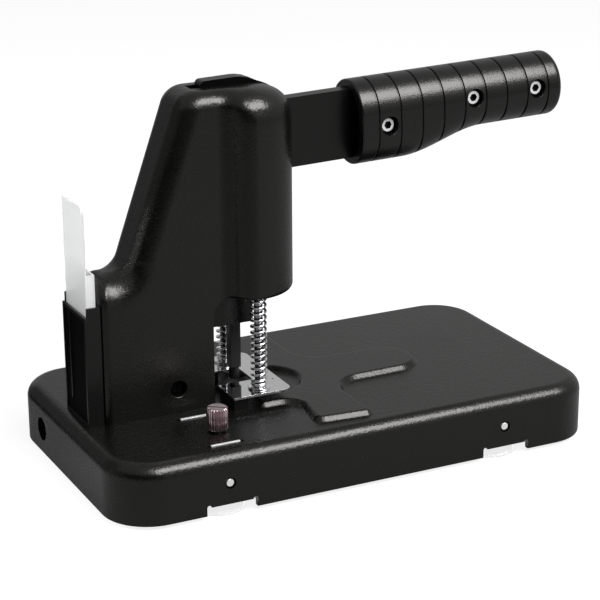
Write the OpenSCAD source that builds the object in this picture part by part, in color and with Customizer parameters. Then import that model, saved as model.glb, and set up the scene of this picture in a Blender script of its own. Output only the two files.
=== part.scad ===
// Heavy duty hole punch. A broad hollow base carries a column with an overhanging nose. A long lever swings down
// in the nose and drives a sprung ram with a punch through a paper gap into a die.
// Millimetres. +Z is up, +X runs along the lever, -Y faces the front. Heights are above the bench.

/* [Base] */
// Length of the base
base_l = 302; // [280:1:330]
// Width of the base
base_w = 171; // [160:1:190]
// Height of the flat top of the base
deck_z = 36.8; // [35:0.1:42]
// Thickness of the flat top
deck_t = 4; // [3:0.1:5]
// Plan radius of the corners
corner_r = 28; // [18:1:36]
// Rounding of the top edge
edge_r = 6.6; // [4:0.1:8]
// Height of the skirt's lower edge
skirt_z = 2.4; // [2.2:0.1:3.4]
// Thickness of the skirt
skirt_t = 3.5; // [2.5:0.1:5]
// Diameter of the round port in the left end
port_d = 14; // [8:0.5:16]
// Place of the port across the base
port_y = 38.5; // [25:0.5:50]
// Height of the port's centre
port_z = 17.5; // [15:0.5:20]
// Thickness of the sheet that closes the underside
floor_t = 1.5; // [1:0.1:2.5]
// Height of the underside sheet
floor_z = 3.8; // [3.6:0.1:6]
// Diameter of the bosses that hold the underside sheet
boss_d = 9; // [7:0.5:12]
// Diameter of the screws of the underside sheet
boss_screw_d = 3; // [2.5:0.1:4]
// Depth of those screws in the bosses
boss_screw_l = 8; // [6:0.5:10]
// Diameter of the heads of those screws
boss_head_d = 5.6; // [5:0.1:6.5]
// Height of the heads of those screws
boss_head_h = 1.4; // [1:0.1:1.4]
// Distance of the end bosses from the base's ends
boss_end = 18; // [14:0.5:22]
// Distance of the end bosses from the base's middle line
boss_y = 30; // [24:0.5:34]
// Distance of the side bosses from the base's sides
boss_side = 17; // [14:0.5:20]

/* [Feet] */
// Distance of the feet from the middle, along the base
foot_x = 87; // [80:1:95]
// Distance of the feet from the middle, across the base
foot_y = 68.5; // [60:0.5:69]
// Radius of a suction cup
foot_r = 15; // [10:0.5:15.5]
// Thickness of a suction cup at its rim
foot_rim = 2; // [1.2:0.1:2.4]
// Height of a suction cup's bell
foot_bell = 9; // [7:0.5:11]
// Diameter of a cup's stem
foot_stem_d = 10; // [8:0.5:12]
// Height of the cross pins
pin_z = 19.6; // [17:0.1:22]
// Diameter of the cross pins
pin_d = 4.4; // [3:0.1:5]
// Diameter of the recess round a pin's end
pin_recess_d = 7; // [6:0.1:9]
// Depth of that recess
pin_recess = 1; // [0.5:0.1:2]
// Length of the notch in the skirt over a foot
notch_l = 23; // [18:0.5:24]
// Height of that notch above the skirt's edge
notch_h = 5; // [3:0.1:6]
// Distance from a notch to the slit on its right
slit_gap = 5.4; // [4:0.1:8]
// Width of that slit
slit_w = 1.4; // [1:0.1:3]

/* [Paper rest] */
// Height of the raised paper rest above the flat top
rest_h = 3; // [2:0.1:3.2]
// Left edge of the rest
rest_x = -44; // [-45:0.5:-42]
// Half width of the rest beside the punch
rest_hw = 34; // [30:0.5:37]
// Left side of the two paws
paw_x = -20; // [-24:0.5:-15]
// Right side of the two paws
paw_end = 8; // [2:0.5:12]
// Reach of the paws from the middle
paw_y = 71; // [60:0.5:73]
// How far the paws' outer corners lean to the left
paw_lean = 6; // [0:0.5:10]
// Fillet where a paw meets the middle of the rest
paw_f = 12; // [6:0.5:14]
// Half width of the tongue
tongue_hw = 19; // [14:0.5:22]
// Tip of the tongue
tongue_x = 72; // [60:1:85]
// Fillet where a paw meets the tongue
tongue_f = 19; // [10:0.5:24]
// Centre of the round pocket in the rest
pocket_x = -26; // [-28:0.5:-24]
// Radius of the round pocket
pocket_r = 21; // [15:0.5:22]

/* [Column] */
// Width of the column
column_w = 38; // [36:0.5:42]
// Rear face of the column
column_x = -133; // [-135:0.5:-130]
// Wall of the column
column_t = 3; // [2.5:0.1:3.5]
// Inner face of the column in the throat
throat_x = -66; // [-67:0.1:-65.5]
// Underside of the nose
throat_z = 99.5; // [97:0.5:103]
// Fillet between the throat's wall and the nose
throat_r = 9; // [4:0.5:12]
// Height of the rear shoulder
shoulder_z = 121; // [118:0.5:124]
// Where the sloping back would meet the shoulder
slope_x = -114.6; // [-116:0.1:-113]
// Lean of the sloping back
slope_a = 19.57; // [18.5:0.01:20.5]
// Radius of the sweep between the shoulder and the slope
sweep_r = 13; // [11:0.5:14]
// Plan radius of the column's rear corners
back_r = 6; // [3:0.5:8]
// Rounding of the shoulder and of the sloping back's edges
slope_r = 12; // [9:0.5:12.5]
// Top of the head
head_z = 219; // [217:0.5:222]
// Rounding of the head's top edge
head_r = 10; // [6:0.5:11]
// Middle of the round nose
nose_x = -41.5; // [-42:0.1:-41]
// Radius of the nose
nose_r = 31; // [30.5:0.1:33]
// Wall of the nose
nose_t = 1.8; // [1.5:0.1:1.9]
// Radius of the nose's rear lobes
lobe_r = 13; // [11:0.5:15]
// Fillet of the neck between the column and the nose
neck_r = 7; // [5:0.5:9]
// Height of the nose's rounded crown
crown_h = 22; // [16:0.5:26]
// How much further the crown draws back at the front than at the sides
crown_w = 18; // [8:0.5:19]
// Depth of the lever's slot in the nose below the pivot
slot_drop = 48; // [45:0.5:56]
// Left end of the lever's slot in the head's top
slot_x = -70.5; // [-72:0.5:-69]
// Place of the two housing screws along the column
cover_screw_x = -88.2; // [-95:0.1:-84]
// Height of the two housing screws
cover_screw_z = 51; // [48:0.5:60]
// Diameter of the recess of a housing screw
cover_recess_d = 7.5; // [6.5:0.1:9]

/* [Frame and pivot] */
// Place of the lever's pivot
pivot_x = -76; // [-77:0.1:-75]
// Depth of the lever's pivot below the head's top
pivot_drop = 33; // [31:0.1:35]
// Diameter of the pivot pin
pivot_d = 10; // [8:0.1:10.5]
// Outer diameter of the lever's bush
bush_d = 12; // [11.6:0.1:14]
// Thickness of a frame cheek
cheek_t = 5; // [4:0.1:5.5]
// Thickness of the frame's foot
frame_foot_t = 6; // [5:0.1:8]
// Diameter of the bolts that hold the frame
frame_bolt_d = 5; // [4:0.1:5]
// Height of the heads of those bolts
frame_head_h = 4; // [3:0.1:5]
// Distance of the rear bolts from the column's back
frame_bolt_rear = 17; // [14:0.5:20]
// Distance of the front bolts from the throat's wall
frame_bolt_front = 14; // [12:0.5:18]
// Thickness of the pivot pin's retaining rings
ring_t = 1; // [0.8:0.1:1.2]

/* [Lever] */
// Thickness of the lever
lever_t = 8; // [7:0.1:8.4]
// Lower edge of the bar below the pivot
bar_low = 21; // [18:0.1:22]
// Upper edge of the bar above the pivot
bar_top = 19.5; // [17:0.1:20]
// Top of the hump above the pivot
hump_top = 36; // [34:0.1:37]
// Left side of the hump
hump_x0 = -66; // [-67:0.1:-64]
// Right end of the hump's flat top
hump_x1 = -40; // [-44:0.5:-36]
// How far the lever rises from level at rest
lever_rise = 1.6; // [0:0.1:2]
// How far the lever swings down
lever_swing = 20; // [12:1:20]
// Diameter of the pin between the lever and the ram
link_d = 8; // [6:0.1:9]
// Room round that pin in the lever's slot
link_clear = 0.5; // [0.35:0.05:0.7]

/* [Grip] */
// Left end of the grip
grip_x0 = 28.8; // [25:0.2:31]
// Right end of the grip
grip_x1 = 163.6; // [160:0.2:175]
// Width of the grip
grip_w = 37.6; // [35:0.1:40]
// Height of the grip's broad end
grip_h = 49.7; // [48:0.1:53]
// Top of the grip above the pivot
grip_top = 24.1; // [23.5:0.1:26]
// Where the underside starts to rise
taper_x0 = 60; // [56:0.5:62]
// Where the underside becomes level again
taper_x1 = 114; // [104:0.5:116]
// Height of the straight flank at the grip's slim end
grip_flat = 0.6; // [0.5:0.1:2]
// First ring groove
groove_x = 39.6; // [38:0.1:41]
// Distance between the ring grooves
groove_pitch = 14.2; // [13.8:0.05:14.4]
// Number of ring grooves
groove_n = 9; // [5:1:9]
// Width of a ring groove
groove_w = 1; // [0.6:0.1:1.6]
// Depth of a ring groove
groove_d = 0.8; // [0.4:0.1:1.2]
// Rounding of the grip's right end
grip_end_r = 4; // [2:0.5:6]
// Wall of the grip's open end
grip_wall = 4.6; // [3.5:0.1:5]
// Depth of the open end
grip_mouth = 9; // [5:0.5:12]
// Diameter of the grip's screws
grip_screw_d = 5; // [4:0.1:5.5]
// Diameter of the recess of a grip's screw
grip_recess_d = 11.2; // [10:0.1:12]
// Height of a grip screw's seat in front of the middle
grip_seat = 10.5; // [9:0.1:11]

/* [Punch set] */
// Place of the punch
punch_x = -45.5; // [-46:0.1:-45]
// Width of the punch's square shank
shank_w = 6.4; // [5:0.1:7]
// Diameter of the punch's cutting end
tip_d = 6; // [4:0.1:6]
// Depth of the shank's socket in the ram
socket_l = 20; // [12:0.5:24]
// Underside of the ram
ram_z = 81.3; // [78:0.1:84]
// Width of the ram
ram_w = 22; // [20:0.1:23]
// Left face of the ram
ram_x0 = -63.5; // [-64:0.1:-62]
// Right face of the ram
ram_x1 = -38; // [-38.5:0.1:-36]
// Underside of the ram's wings
wing_z = 112; // [106:0.5:116]
// Thickness of the wings
wing_t = 12; // [8:0.5:16]
// Outer radius of a wing round its post
wing_r = 4.6; // [4.4:0.1:4.8]
// Place of the guide posts along the base
post_x = -40.6; // [-41.5:0.1:-40]
// Distance of the guide posts from the middle
post_y = 24; // [22.5:0.1:24]
// Diameter of the guide posts
post_d = 5; // [4:0.1:5.2]
// Outer diameter of the ram's post bushes
post_bush_d = 7; // [6.6:0.1:7.4]
// Top of the chrome plate
plate_z = 45.3; // [45.2:0.1:47]
// Thickness of the chrome plate
plate_t = 1.2; // [0.9:0.1:1.3]
// Left edge of the plate
plate_x0 = -54.6; // [-56:0.1:-53]
// Right edge of the plate
plate_x1 = -23.8; // [-26:0.1:-22]
// Width of the plate
plate_w = 67; // [63:0.5:70]
// Right end of the plate's opening for the punch
plate_gap_x = -38.2; // [-39:0.1:-38]
// Width of that opening
plate_gap_w = 21; // [18:0.1:22]
// Radius of the plate's outer corners
plate_r = 5; // [2:0.5:7]
// Diameter of the flange of the die
die_flange_d = 20; // [18:0.1:20]
// Diameter of the body of the die
die_d = 14; // [12:0.1:16]
// Room round the cutting end in the die
die_clear = 0.15; // [0.1:0.05:0.3]
// Depth of the die below the flat top
die_l = 9; // [7:0.5:12]

/* [Chrome plate's screws] */
// Diameter of the screws of the chrome plate's supports
plate_screw_d = 3; // [2.5:0.1:3.5]
// Diameter of the heads of those screws
plate_head_d = 5.6; // [5:0.1:6.5]
// Height of the heads of those screws
plate_head_h = 2.4; // [2:0.1:3]
// Place of those screws across the base
plate_screw_y = 20; // [17:0.5:24]
// Distance of those screws from the plate's rear edge
plate_screw_in = 2.4; // [2.2:0.1:3]

/* [Return springs] */
// Outer diameter of a spring
spring_d = 9.8; // [9.2:0.1:9.9]
// Diameter of its wire
wire_d = 1.5; // [1.2:0.1:1.6]
// Number of curls of a spring
spring_n = 16; // [10:1:18]
// Diameter of the washer under a spring
washer_d = 13; // [11.5:0.1:13.5]
// Thickness of that washer
washer_t = 1.2; // [0.8:0.1:2]

/* [Margin gauge] */
// Middle of the gauge along the base
gauge_x = -83.4; // [-86:0.1:-82]
// Distance of the front row of keys from the base's front
gauge_in = 13.9; // [12.5:0.1:17]
// Distance between the two rows of keys
gauge_span = 42.4; // [40:0.1:43]
// Length of a key
key_l = 17; // [12:0.5:18]
// Thickness of a key
key_t = 1.6; // [1.2:0.1:2.2]
// How far the gauge moves each way
gauge_travel = 1.5; // [1:0.1:2.5]
// Place of the thumbscrew along the base
knob_x = -80; // [-82:0.1:-79]
// Distance of the thumbscrew behind the front row of keys
knob_in = 18.6; // [14:0.1:24]
// Diameter of the thumbscrew's head
knob_d = 12.2; // [10:0.1:14]
// Height of the thumbscrew's head
knob_h = 15.7; // [10:0.1:18]
// Diameter of the thumbscrew's stud
stud_d = 5; // [4:0.1:6]
// Number of ribs round the thumbscrew
knob_ribs = 22; // [16:1:28]

/* [Storage box] */
// Half width of the holder outside
holder_hw = 17.6; // [16.5:0.1:18.5]
// Wall of the holder
holder_t = 1.4; // [1.2:0.1:1.6]
// Room for the box between the holder's front and back
holder_gap = 6.4; // [5.5:0.1:6.6]
// Diameter of the holder's screws
holder_screw_d = 3; // [2.5:0.1:3.5]
// Diameter of the heads of those screws
holder_head_d = 5.6; // [5:0.1:6.5]
// Height of the lower of those screws
holder_screw_low = 58; // [54:0.5:66]
// Height of the upper of those screws
holder_screw_high = 88; // [80:0.5:94]
// Top of the holder's front
holder_z = 101.3; // [95:0.1:105]
// How far the holder's sides stand above its front
holder_step = 5.3; // [3:0.1:8]
// Top of the clear box
box_z = 125; // [118:0.5:130]
// Top of the box's tab
tab_z = 163; // [150:0.5:170]
// Wall of the clear box
box_t = 1; // [0.8:0.1:1.4]

/* [Fits] */
// Room round a running pin or post
run_clear = 0.03; // [0.02:0.01:0.08]
// Room round a seated or screwed piece
seat_clear = 0.05; // [0.02:0.01:0.1]
// Room beside a piece that moves
slide_clear = 0.35; // [0.3:0.05:0.5]

/* [Hidden] */
$fn = 64;
eps = 0.01;

// Colours
satin_black = [0.07, 0.07, 0.07];
grip_black = [0.09, 0.09, 0.09];
bright = [0.85, 0.86, 0.88];
steel = [0.6, 0.6, 0.62];
bronze = [0.72, 0.55, 0.33];
clear_plastic = [0.9, 0.95, 0.93, 0.4];
rosy_nickel = [0.75, 0.63, 0.62];

// Origin: the middle of the whole object's outline, on the bench
reach_x = pivot_x + (grip_x1 - pivot_x) * cos(lever_rise) + (grip_w + grip_flat - grip_end_r - grip_top) * sin(lever_rise);
origin_x = (reach_x - base_l / 2) / 2;

// Heights in the paper gap
rest_z = deck_z + rest_h;
plate_low = plate_z - plate_t;
deck_low = deck_z - deck_t;
sheet_top = floor_z + floor_t;

// Margin gauge
gauge_y1 = gauge_in - base_w / 2;
gauge_y0 = gauge_y1 + gauge_span;
knob_y = gauge_y1 + knob_in;

// Lever and ram
pivot_z = head_z - pivot_drop;
slot_z = pivot_z - slot_drop;
link_arm = punch_x - pivot_x;
link_z = pivot_z + link_arm * tan(lever_rise);
stroke = link_arm * (tan(lever_swing - lever_rise) + tan(lever_rise));
cheek_y = lever_t / 2 + slide_clear + 0.2;
frame_hw = cheek_y + cheek_t;
ear_y = lever_t / 2 + slide_clear;
ear_r = link_d / 2 + 3.5;
web_z = pivot_z - bar_low - 7;
tip_z = plate_low + 0.2;
shank_z = rest_z + stroke + 0.5;
spring_z0 = plate_z + washer_t;
post_top = wing_z + wing_t + 6;
bar_end = grip_x1 - 9;

// Column
column_hw = column_w / 2;
sweep_z = shoulder_z + sweep_r;
sweep_x = slope_at(sweep_z) - sweep_r / cos(slope_a);
shoulder_r = sweep_x - column_x;
cavity_top = head_z - head_r + 3;
crown_z = head_z - crown_h;
upper_hw = frame_hw + ring_t + 2.6;
lower_top = shoulder_z - slope_r + 1;
cover_seat = column_hw - 5.2;
cover_boss = cover_seat - 2;
lug_end = cover_boss - 0.1;

// Storage
holder_back = column_x - holder_t;
holder_front = holder_back - holder_gap;
box_x0 = holder_front + slide_clear;
box_x1 = holder_back - slide_clear;
box_hw = holder_hw - holder_t - slide_clear;
holder_screw_z = [holder_screw_low, holder_screw_high];
holder_head_h = (holder_head_d - holder_screw_d) / 2;

bosses = [for (sx = [-1, 1], sy = [-1, 1]) [sx * (base_l / 2 - boss_end), sy * boss_y],
          for (sy = [-1, 1]) [0, sy * (base_w / 2 - boss_side)]];
frame_foot_hw = column_hw - column_t - 0.5;
frame_bolts_at = [for (x = [column_x + frame_bolt_rear, throat_x - frame_bolt_front], sy = [-1, 1]) [x, sy * (frame_hw + frame_foot_hw) / 2]];
grip_screws_at = [for (i = [0, 4, 7])
    [groove_x + (i + 0.5) * groove_pitch, i == 0 ? grip_top - grip_h / 2 - 1 : grip_top - grip_w / 2 + 1.2]];
plate_screws_at = [for (sy = [-1, 1]) [plate_x0 + plate_screw_in, sy * plate_screw_y]];

function slope_at(z) = slope_x + (z - shoulder_z) * tan(slope_a);

// Points along an arc, its first point left out when skip is 1
function arc(c, r, a0, a1, n, skip = 0) =
    [for (i = [skip : n]) let (a = a0 + (a1 - a0) * i / n) [c[0] + r * cos(a), c[1] + r * sin(a)]];
function mirrored(half) = concat(half, [for (i = [len(half) - 2 : -1 : 0]) [half[i][0], -half[i][1]]]);

// Plan of the column, neck and nose at one height. The rear is at x. A tail whose sides are drawn in by e runs from
// there to xs, where the sloping back's corners start. The outline is drawn in by d, and the nose's front by c more.
function housing_plan(x, xs, e, d, c) =
    let (hw = column_hw - d, rn = neck_r + d, rl = lobe_r - d, yl = nose_r - lobe_r, rt = nose_r - d,
         rx = min(back_r, xs - x), ry = min(back_r, hw - e - 1),
         xn = nose_x - sqrt(pow(rn + rl, 2) - pow(hw + rn - yl, 2)),
         rc = min(max(slope_r - d, 1.5), xn - xs - 0.5),
         touch = atan2(hw + rn - yl, nose_x - xn))
    mirrored(concat(
        [for (a = [0 : 22.5 : 90]) [x + rx * (1 - cos(a)), e - hw + ry * (1 - sin(a))]],
        [for (a = [22.5 : 22.5 : 90]) [xs + rc * (1 - cos(a)), e * (1 - sin(a)) - hw]],
        arc([xn, -hw - rn], rn, 90, touch, 4),
        arc([nose_x, -yl], rl, 180 + touch, 270, 4, 1),
        [for (a = [9 : 9 : 90]) [nose_x + (rt - c) * sin(a), -rt * cos(a)]]));

// How far the crown's front is drawn back at height z
function crown_in(z) = z < crown_z ? 0 : crown_w * (1 - sqrt(max(1 - pow((z - crown_z) / crown_h, 2), 0)));

// Plan of the housing at height z with its rear at x, its tail drawn in by e and its outline by d
function housing_level(z, x, e, d) =
    [for (p = housing_plan(x, max(slope_at(z), slope_x, x), e, d, crown_in(z))) [p[0], p[1], z]];

housing_rings = concat(
    [housing_level(deck_z, column_x, 0, 0)],
    [for (a = [0, 25, 45, 62, 77, 90])
        housing_level(shoulder_z - slope_r * (1 - sin(a)), column_x + shoulder_r * (1 - cos(a)),
                      slope_r * (1 - cos(a)), 0)],
    [for (a = [-65, -45, -30, -slope_a])
        housing_level(sweep_z + sweep_r * sin(a), sweep_x + sweep_r * cos(a), slope_r, 0)],
    [for (z = [crown_z, crown_z + crown_h * 0.28]) housing_level(z, slope_at(z), slope_r, 0)],
    [for (a = [0, 20, 40, 60, 75, 90])
        let (z = head_z - head_r * (1 - sin(a)), d = head_r * (1 - cos(a)))
        housing_level(z, slope_at(head_z - head_r) + d + head_r * sin(a) * 0.25, max(slope_r - d, 2), d)]);

// A closed skin through rings of points that are all of one count. A fan round a point of ends closes each end.
module skin(rings, ends) {
    n = len(rings[0]);
    m = len(rings);
    polyhedron(
        points = concat([for (ring = rings) each ring], ends),
        faces = concat(
            [for (i = [0 : n - 1]) [m * n, i, (i + 1) % n]],
            [for (j = [0 : m - 2], i = [0 : n - 1])
                each [[j * n + i, (j + 1) * n + i, (j + 1) * n + (i + 1) % n],
                      [j * n + i, (j + 1) * n + (i + 1) % n, j * n + (i + 1) % n]]],
            [for (i = [0 : n - 1]) [m * n + 1, (m - 1) * n + (i + 1) % n, (m - 1) * n + i]]),
        convexity = 10);
}

function mean(ring) = [for (p = ring) 1 / len(ring)] * ring;
function mean_ends(rings) = [mean(rings[0]), mean(rings[len(rings) - 1])];

// Height of the underside of the grip above its lowest level, along x
function grip_lift(x) =
    let (t = min(max((x - taper_x0) / (taper_x1 - taper_x0), 0), 1))
    (grip_h - grip_w - grip_flat) * t * t * (3 - 2 * t);

// Half section of the grip at x, drawn in by d, as points across and up from the pivot's height
function grip_half(x, d) =
    let (r = grip_w / 2, top = grip_top - r, low = grip_top - grip_h + r + grip_lift(x))
    [for (p = concat(arc([0, top], r - d, 90, 180, 9), arc([0, low], r - d, 180, 270, 9)))
        [x, p[0], p[1]]];

grip_stations = concat(
    [[grip_x0, 0.8], [grip_x0 + 0.8, 0]],
    [for (i = [0 : groove_n - 1]) let (x = groove_x + i * groove_pitch, h = groove_w / 2)
        each [[x - h, 0], [x - h * 0.5, groove_d], [x + h * 0.5, groove_d], [x + h, 0],
              [x + groove_pitch / 2, 0]]]);
grip_rings = concat(
    [for (s = grip_stations) if (s[0] < grip_x1 - grip_end_r - 1) grip_half(s[0], s[1])],
    [for (a = [0, 30, 60, 90]) grip_half(grip_x1 - grip_end_r * (1 - sin(a)), grip_end_r * (1 - cos(a)))]);

// Wire of a spring: points with their directions, from the washer to the wing
spring_r = (spring_d - wire_d) / 2;
bend_r = wire_d;
coil_z0 = spring_z0 + wire_d + bend_r;
coil_z1 = wing_z - wire_d - bend_r;
coil_pitch = (coil_z1 - coil_z0) / spring_n;
coil_rise = atan2(coil_pitch, 2 * PI * spring_r);
wire_path = concat(
    [for (z = [spring_z0, spring_z0 + wire_d]) [[spring_r, -bend_r, z], [0, 0, 1], [1, 0, 0]]],
    [for (a = [30, 60])
        [[spring_r, -bend_r * cos(a), coil_z0 - bend_r + bend_r * sin(a)], [0, sin(a), cos(a)], [1, 0, 0]]],
    [for (i = [0 : spring_n * 8]) let (a = i * 45)
        [[spring_r * cos(a), spring_r * sin(a), coil_z0 + coil_pitch * a / 360],
         [-sin(a) * cos(coil_rise), cos(a) * cos(coil_rise), sin(coil_rise)], [cos(a), sin(a), 0]]],
    [for (a = [60, 30])
        [[spring_r, bend_r * cos(a), coil_z1 + bend_r - bend_r * sin(a)], [0, sin(a), cos(a)], [1, 0, 0]]],
    [for (z = [wing_z - wire_d, wing_z]) [[spring_r, bend_r, z], [0, 0, 1], [1, 0, 0]]]);
wire_rings = [for (s = wire_path)
    [for (k = [0 : 5]) s[0] + wire_d / 2 * (cos(k * 60) * s[2] + sin(k * 60) * cross(s[1], s[2]))]];
spring_gap = min([for (i = [0 : len(wire_path) - 1], j = [i + 5 : 1 : min(i + 14, len(wire_path) - 1)])
    norm(wire_path[i][0] - wire_path[j][0])]) - wire_d;
echo("least gap of a return spring to itself", spring_gap);
echo("shift of the origin along the base", origin_x);

module at_origin() {
    translate([-origin_x, 0, 0]) children();
}

// Turns the lever's pieces, drawn level, up to their place at rest
module raised() {
    translate([pivot_x, 0, pivot_z]) rotate([0, -lever_rise, 0]) translate([-pivot_x, 0, -pivot_z]) children();
}

module rounded_rect(l, w, r) {
    square([l - 2 * r, w], center = true);
    square([l, w - 2 * r], center = true);
    for (sx = [-1, 1], sy = [-1, 1]) translate([sx * (l / 2 - r), sy * (w / 2 - r)]) circle(r = r);
}

// A slot of length l and width w along X
module slot_2d(l, w) {
    square([l - w, w], center = true);
    for (s = [-1, 1]) translate([s * (l - w) / 2, 0]) circle(d = w);
}

// Extrudes a drawing made in X and Z evenly to both sides of the middle plane
module across(w) {
    rotate([90, 0, 0]) translate([0, 0, -w / 2]) linear_extrude(w) children();
}

// A cylinder along Y between two places
module rod_y(x, z, y0, y1, d) {
    translate([x, y0, z]) rotate([-90, 0, 0]) cylinder(d = d, h = y1 - y0);
}

// A cylinder along X between two places
module rod_x(y, z, x0, x1, d) {
    translate([x0, y, z]) rotate([0, 90, 0]) cylinder(d = d, h = x1 - x0);
}

// A cylinder along Z between two heights
module rod_z(x, y, z0, z1, d) {
    translate([x, y, z0]) cylinder(d = d, h = z1 - z0);
}

module rest_plan() {
    half = concat(
        [[rest_x, -rest_hw]],
        arc([paw_x - paw_f, -rest_hw - paw_f], paw_f, 90, 0, 4),
        [[paw_x - paw_lean, -paw_y + 3], [paw_end - 2, -paw_y], [paw_end, -paw_y + 2]],
        arc([paw_end + tongue_f, -tongue_hw - tongue_f], tongue_f, 180, 90, 6),
        arc([tongue_x - tongue_hw + 2.5, 0], tongue_hw - 2.5, -90, 0, 6));
    difference() {
        polygon(mirrored(half));
        translate([pocket_x, 0]) circle(r = pocket_r);
        translate([punch_x, 0]) circle(d = die_flange_d + 2 * slide_clear);
    }
}

module base_block() {
    hull() for (sx = [-1, 1], sy = [-1, 1])
        translate([sx * (base_l / 2 - corner_r), sy * (base_w / 2 - corner_r), 0])
            rotate_extrude($fn = 48) polygon(concat(
                [[0, skirt_z], [corner_r, skirt_z]],
                arc([corner_r - edge_r, deck_z - edge_r], edge_r, 0, 90, 5),
                [[0, deck_z]]));
}

module base_shell() {
    color(satin_black) at_origin() difference() {
        union() {
            difference() {
                base_block();
                translate([0, 0, skirt_z - 1]) linear_extrude(deck_low - skirt_z + 1)
                    rounded_rect(base_l - 2 * skirt_t, base_w - 2 * skirt_t, corner_r - skirt_t);
            }
            translate([0, 0, deck_z - deck_t / 2]) linear_extrude(rest_h + deck_t / 2) rest_plan();
            for (p = bosses) rod_z(p[0], p[1], sheet_top, deck_low + 1, boss_d);
        }
        for (p = bosses) rod_z(p[0], p[1], sheet_top - 1, sheet_top + boss_screw_l + 1, boss_screw_d + 2 * seat_clear);
        for (sx = [-1, 1]) {
            rod_y(sx * foot_x, pin_z, -base_w, base_w, pin_d + 2 * seat_clear);
            for (sy = [-1, 1]) {
                translate([sx * foot_x - foot_r, sy * (base_w / 2 - skirt_t / 2) - skirt_t, skirt_z - 1]) {
                    cube([notch_l, 2 * skirt_t, notch_h + 1]);
                    translate([notch_l + slit_gap, 0, 0]) cube([slit_w, 2 * skirt_t, notch_h + 1]);
                }
                rod_y(sx * foot_x, pin_z, sy * base_w / 2 - pin_recess, sy * base_w / 2 + pin_recess,
                      pin_recess_d);
            }
        }
        rod_x(port_y, port_z, -base_l / 2 - 1, -base_l / 2 + skirt_t + 1, port_d);
        rod_z(punch_x, 0, deck_low - 1, deck_z + 1, die_d + 2 * seat_clear);
        for (p = frame_bolts_at) rod_z(p[0], p[1], deck_low - 1, deck_z + 1, frame_bolt_d + 2 * seat_clear);
        for (p = plate_screws_at) rod_z(p[0], p[1], deck_low - 1, deck_z + 1, plate_screw_d + 2 * seat_clear);
        for (y = [gauge_y0, gauge_y1]) translate([gauge_x, y, deck_low - 1])
            linear_extrude(deck_t + 2) slot_2d(key_l + 2 * gauge_travel + 2 * slide_clear + key_t,
                                               key_t + 2 * slide_clear);
        translate([knob_x, knob_y, deck_low - 1]) linear_extrude(deck_t + 2)
            slot_2d(stud_d + 2 * gauge_travel + 2 * slide_clear, stud_d + 2 * slide_clear);
    }
}

module bottom_sheet() {
    gap = 0.5;
    color(steel) at_origin() translate([0, 0, floor_z]) linear_extrude(floor_t) difference() {
        rounded_rect(base_l - 2 * (skirt_t + gap), base_w - 2 * (skirt_t + gap), corner_r - skirt_t - gap);
        for (sx = [-1, 1], sy = [-1, 1]) translate([sx * foot_x, sy * (foot_y + 10)])
            square([2 * foot_r + 6, 2 * foot_r + 26], center = true);
        for (p = bosses) translate(p) circle(d = boss_screw_d + 2 * seat_clear);
    }
}

module bottom_screws() {
    color(steel) at_origin() for (p = bosses) difference() {
        union() {
            rod_z(p[0], p[1], floor_z, sheet_top + boss_screw_l, boss_screw_d);
            translate([p[0], p[1], floor_z - boss_head_h])
                cylinder(d1 = boss_head_d - 0.85 * boss_head_h, d2 = boss_head_d, h = boss_head_h);
        }
        translate([p[0], p[1], floor_z - boss_head_h])
            cube([0.7 * boss_head_d, 0.14 * boss_head_d, boss_head_h], center = true);
    }
}

module suction_feet() {
    color(clear_plastic) at_origin() for (sx = [-1, 1], sy = [-1, 1]) difference() {
        translate([sx * foot_x, sy * foot_y, 0]) rotate_extrude() polygon([
            [foot_r - 1.5, 0], [foot_r, 0], [foot_r, foot_rim - 0.8], [foot_r - 0.8, foot_rim],
            [foot_stem_d / 2 + 3, foot_bell - 2.5], [foot_stem_d / 2, foot_bell],
            [foot_stem_d / 2, pin_z + pin_d / 2 + 2.5], [0, pin_z + pin_d / 2 + 2.5], [0, foot_bell - 4]]);
        rod_y(sx * foot_x, pin_z, sy * foot_y - foot_r, sy * foot_y + foot_r, pin_d + 2 * seat_clear);
    }
}

module foot_pins() {
    end_gap = pin_recess * 0.4;
    color(bright) at_origin() for (sx = [-1, 1])
        rod_y(sx * foot_x, pin_z, -base_w / 2 + end_gap, base_w / 2 - end_gap, pin_d);
}

// Space inside the upper column and the neck, in X and Z
module neck_cavity_2d() {
    wall_x = column_t / cos(slope_a);
    x = slope_at(sweep_z) + wall_x;
    polygon([
        [column_x + column_t + 8, lower_top - 1], [x - 4, shoulder_z - 4], [x, sweep_z],
        [slope_at(cavity_top - 2) + wall_x, cavity_top - 2], [nose_x, cavity_top - 2], [nose_x, throat_z + 12],
        [throat_x - column_t, throat_z + 12], [throat_x - column_t, lower_top - 1]]);
}

// Space inside the nose, open below, with a front wall that the crown's rounding leaves whole
module nose_cavity() {
    z0 = throat_z - throat_r - 1;
    x = ram_x0 - 2 * slide_clear;
    translate([0, 0, z0]) linear_extrude(cavity_top - z0)
        polygon(housing_plan(x, x, 1, nose_t, crown_in(cavity_top)));
}

// The lever's slot through the nose's front and the head's top, in X and Z
module slot_cut_2d() {
    end = nose_x + nose_r + 1;
    polygon([
        [slot_x, cavity_top - 4], [nose_x, cavity_top - 4], [nose_x, slot_z],
        [end, slot_z], [end, head_z + 5], [slot_x, head_z + 5]]);
}

// Space taken out of the housing under the nose, in X and Z
module throat_2d() {
    polygon(concat(
        [[throat_x, deck_z - 1]],
        arc([throat_x + throat_r, throat_z - throat_r], throat_r, 180, 90, 6),
        [[nose_x + nose_r + 5, throat_z], [nose_x + nose_r + 5, deck_z - 1]]));
}

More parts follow.
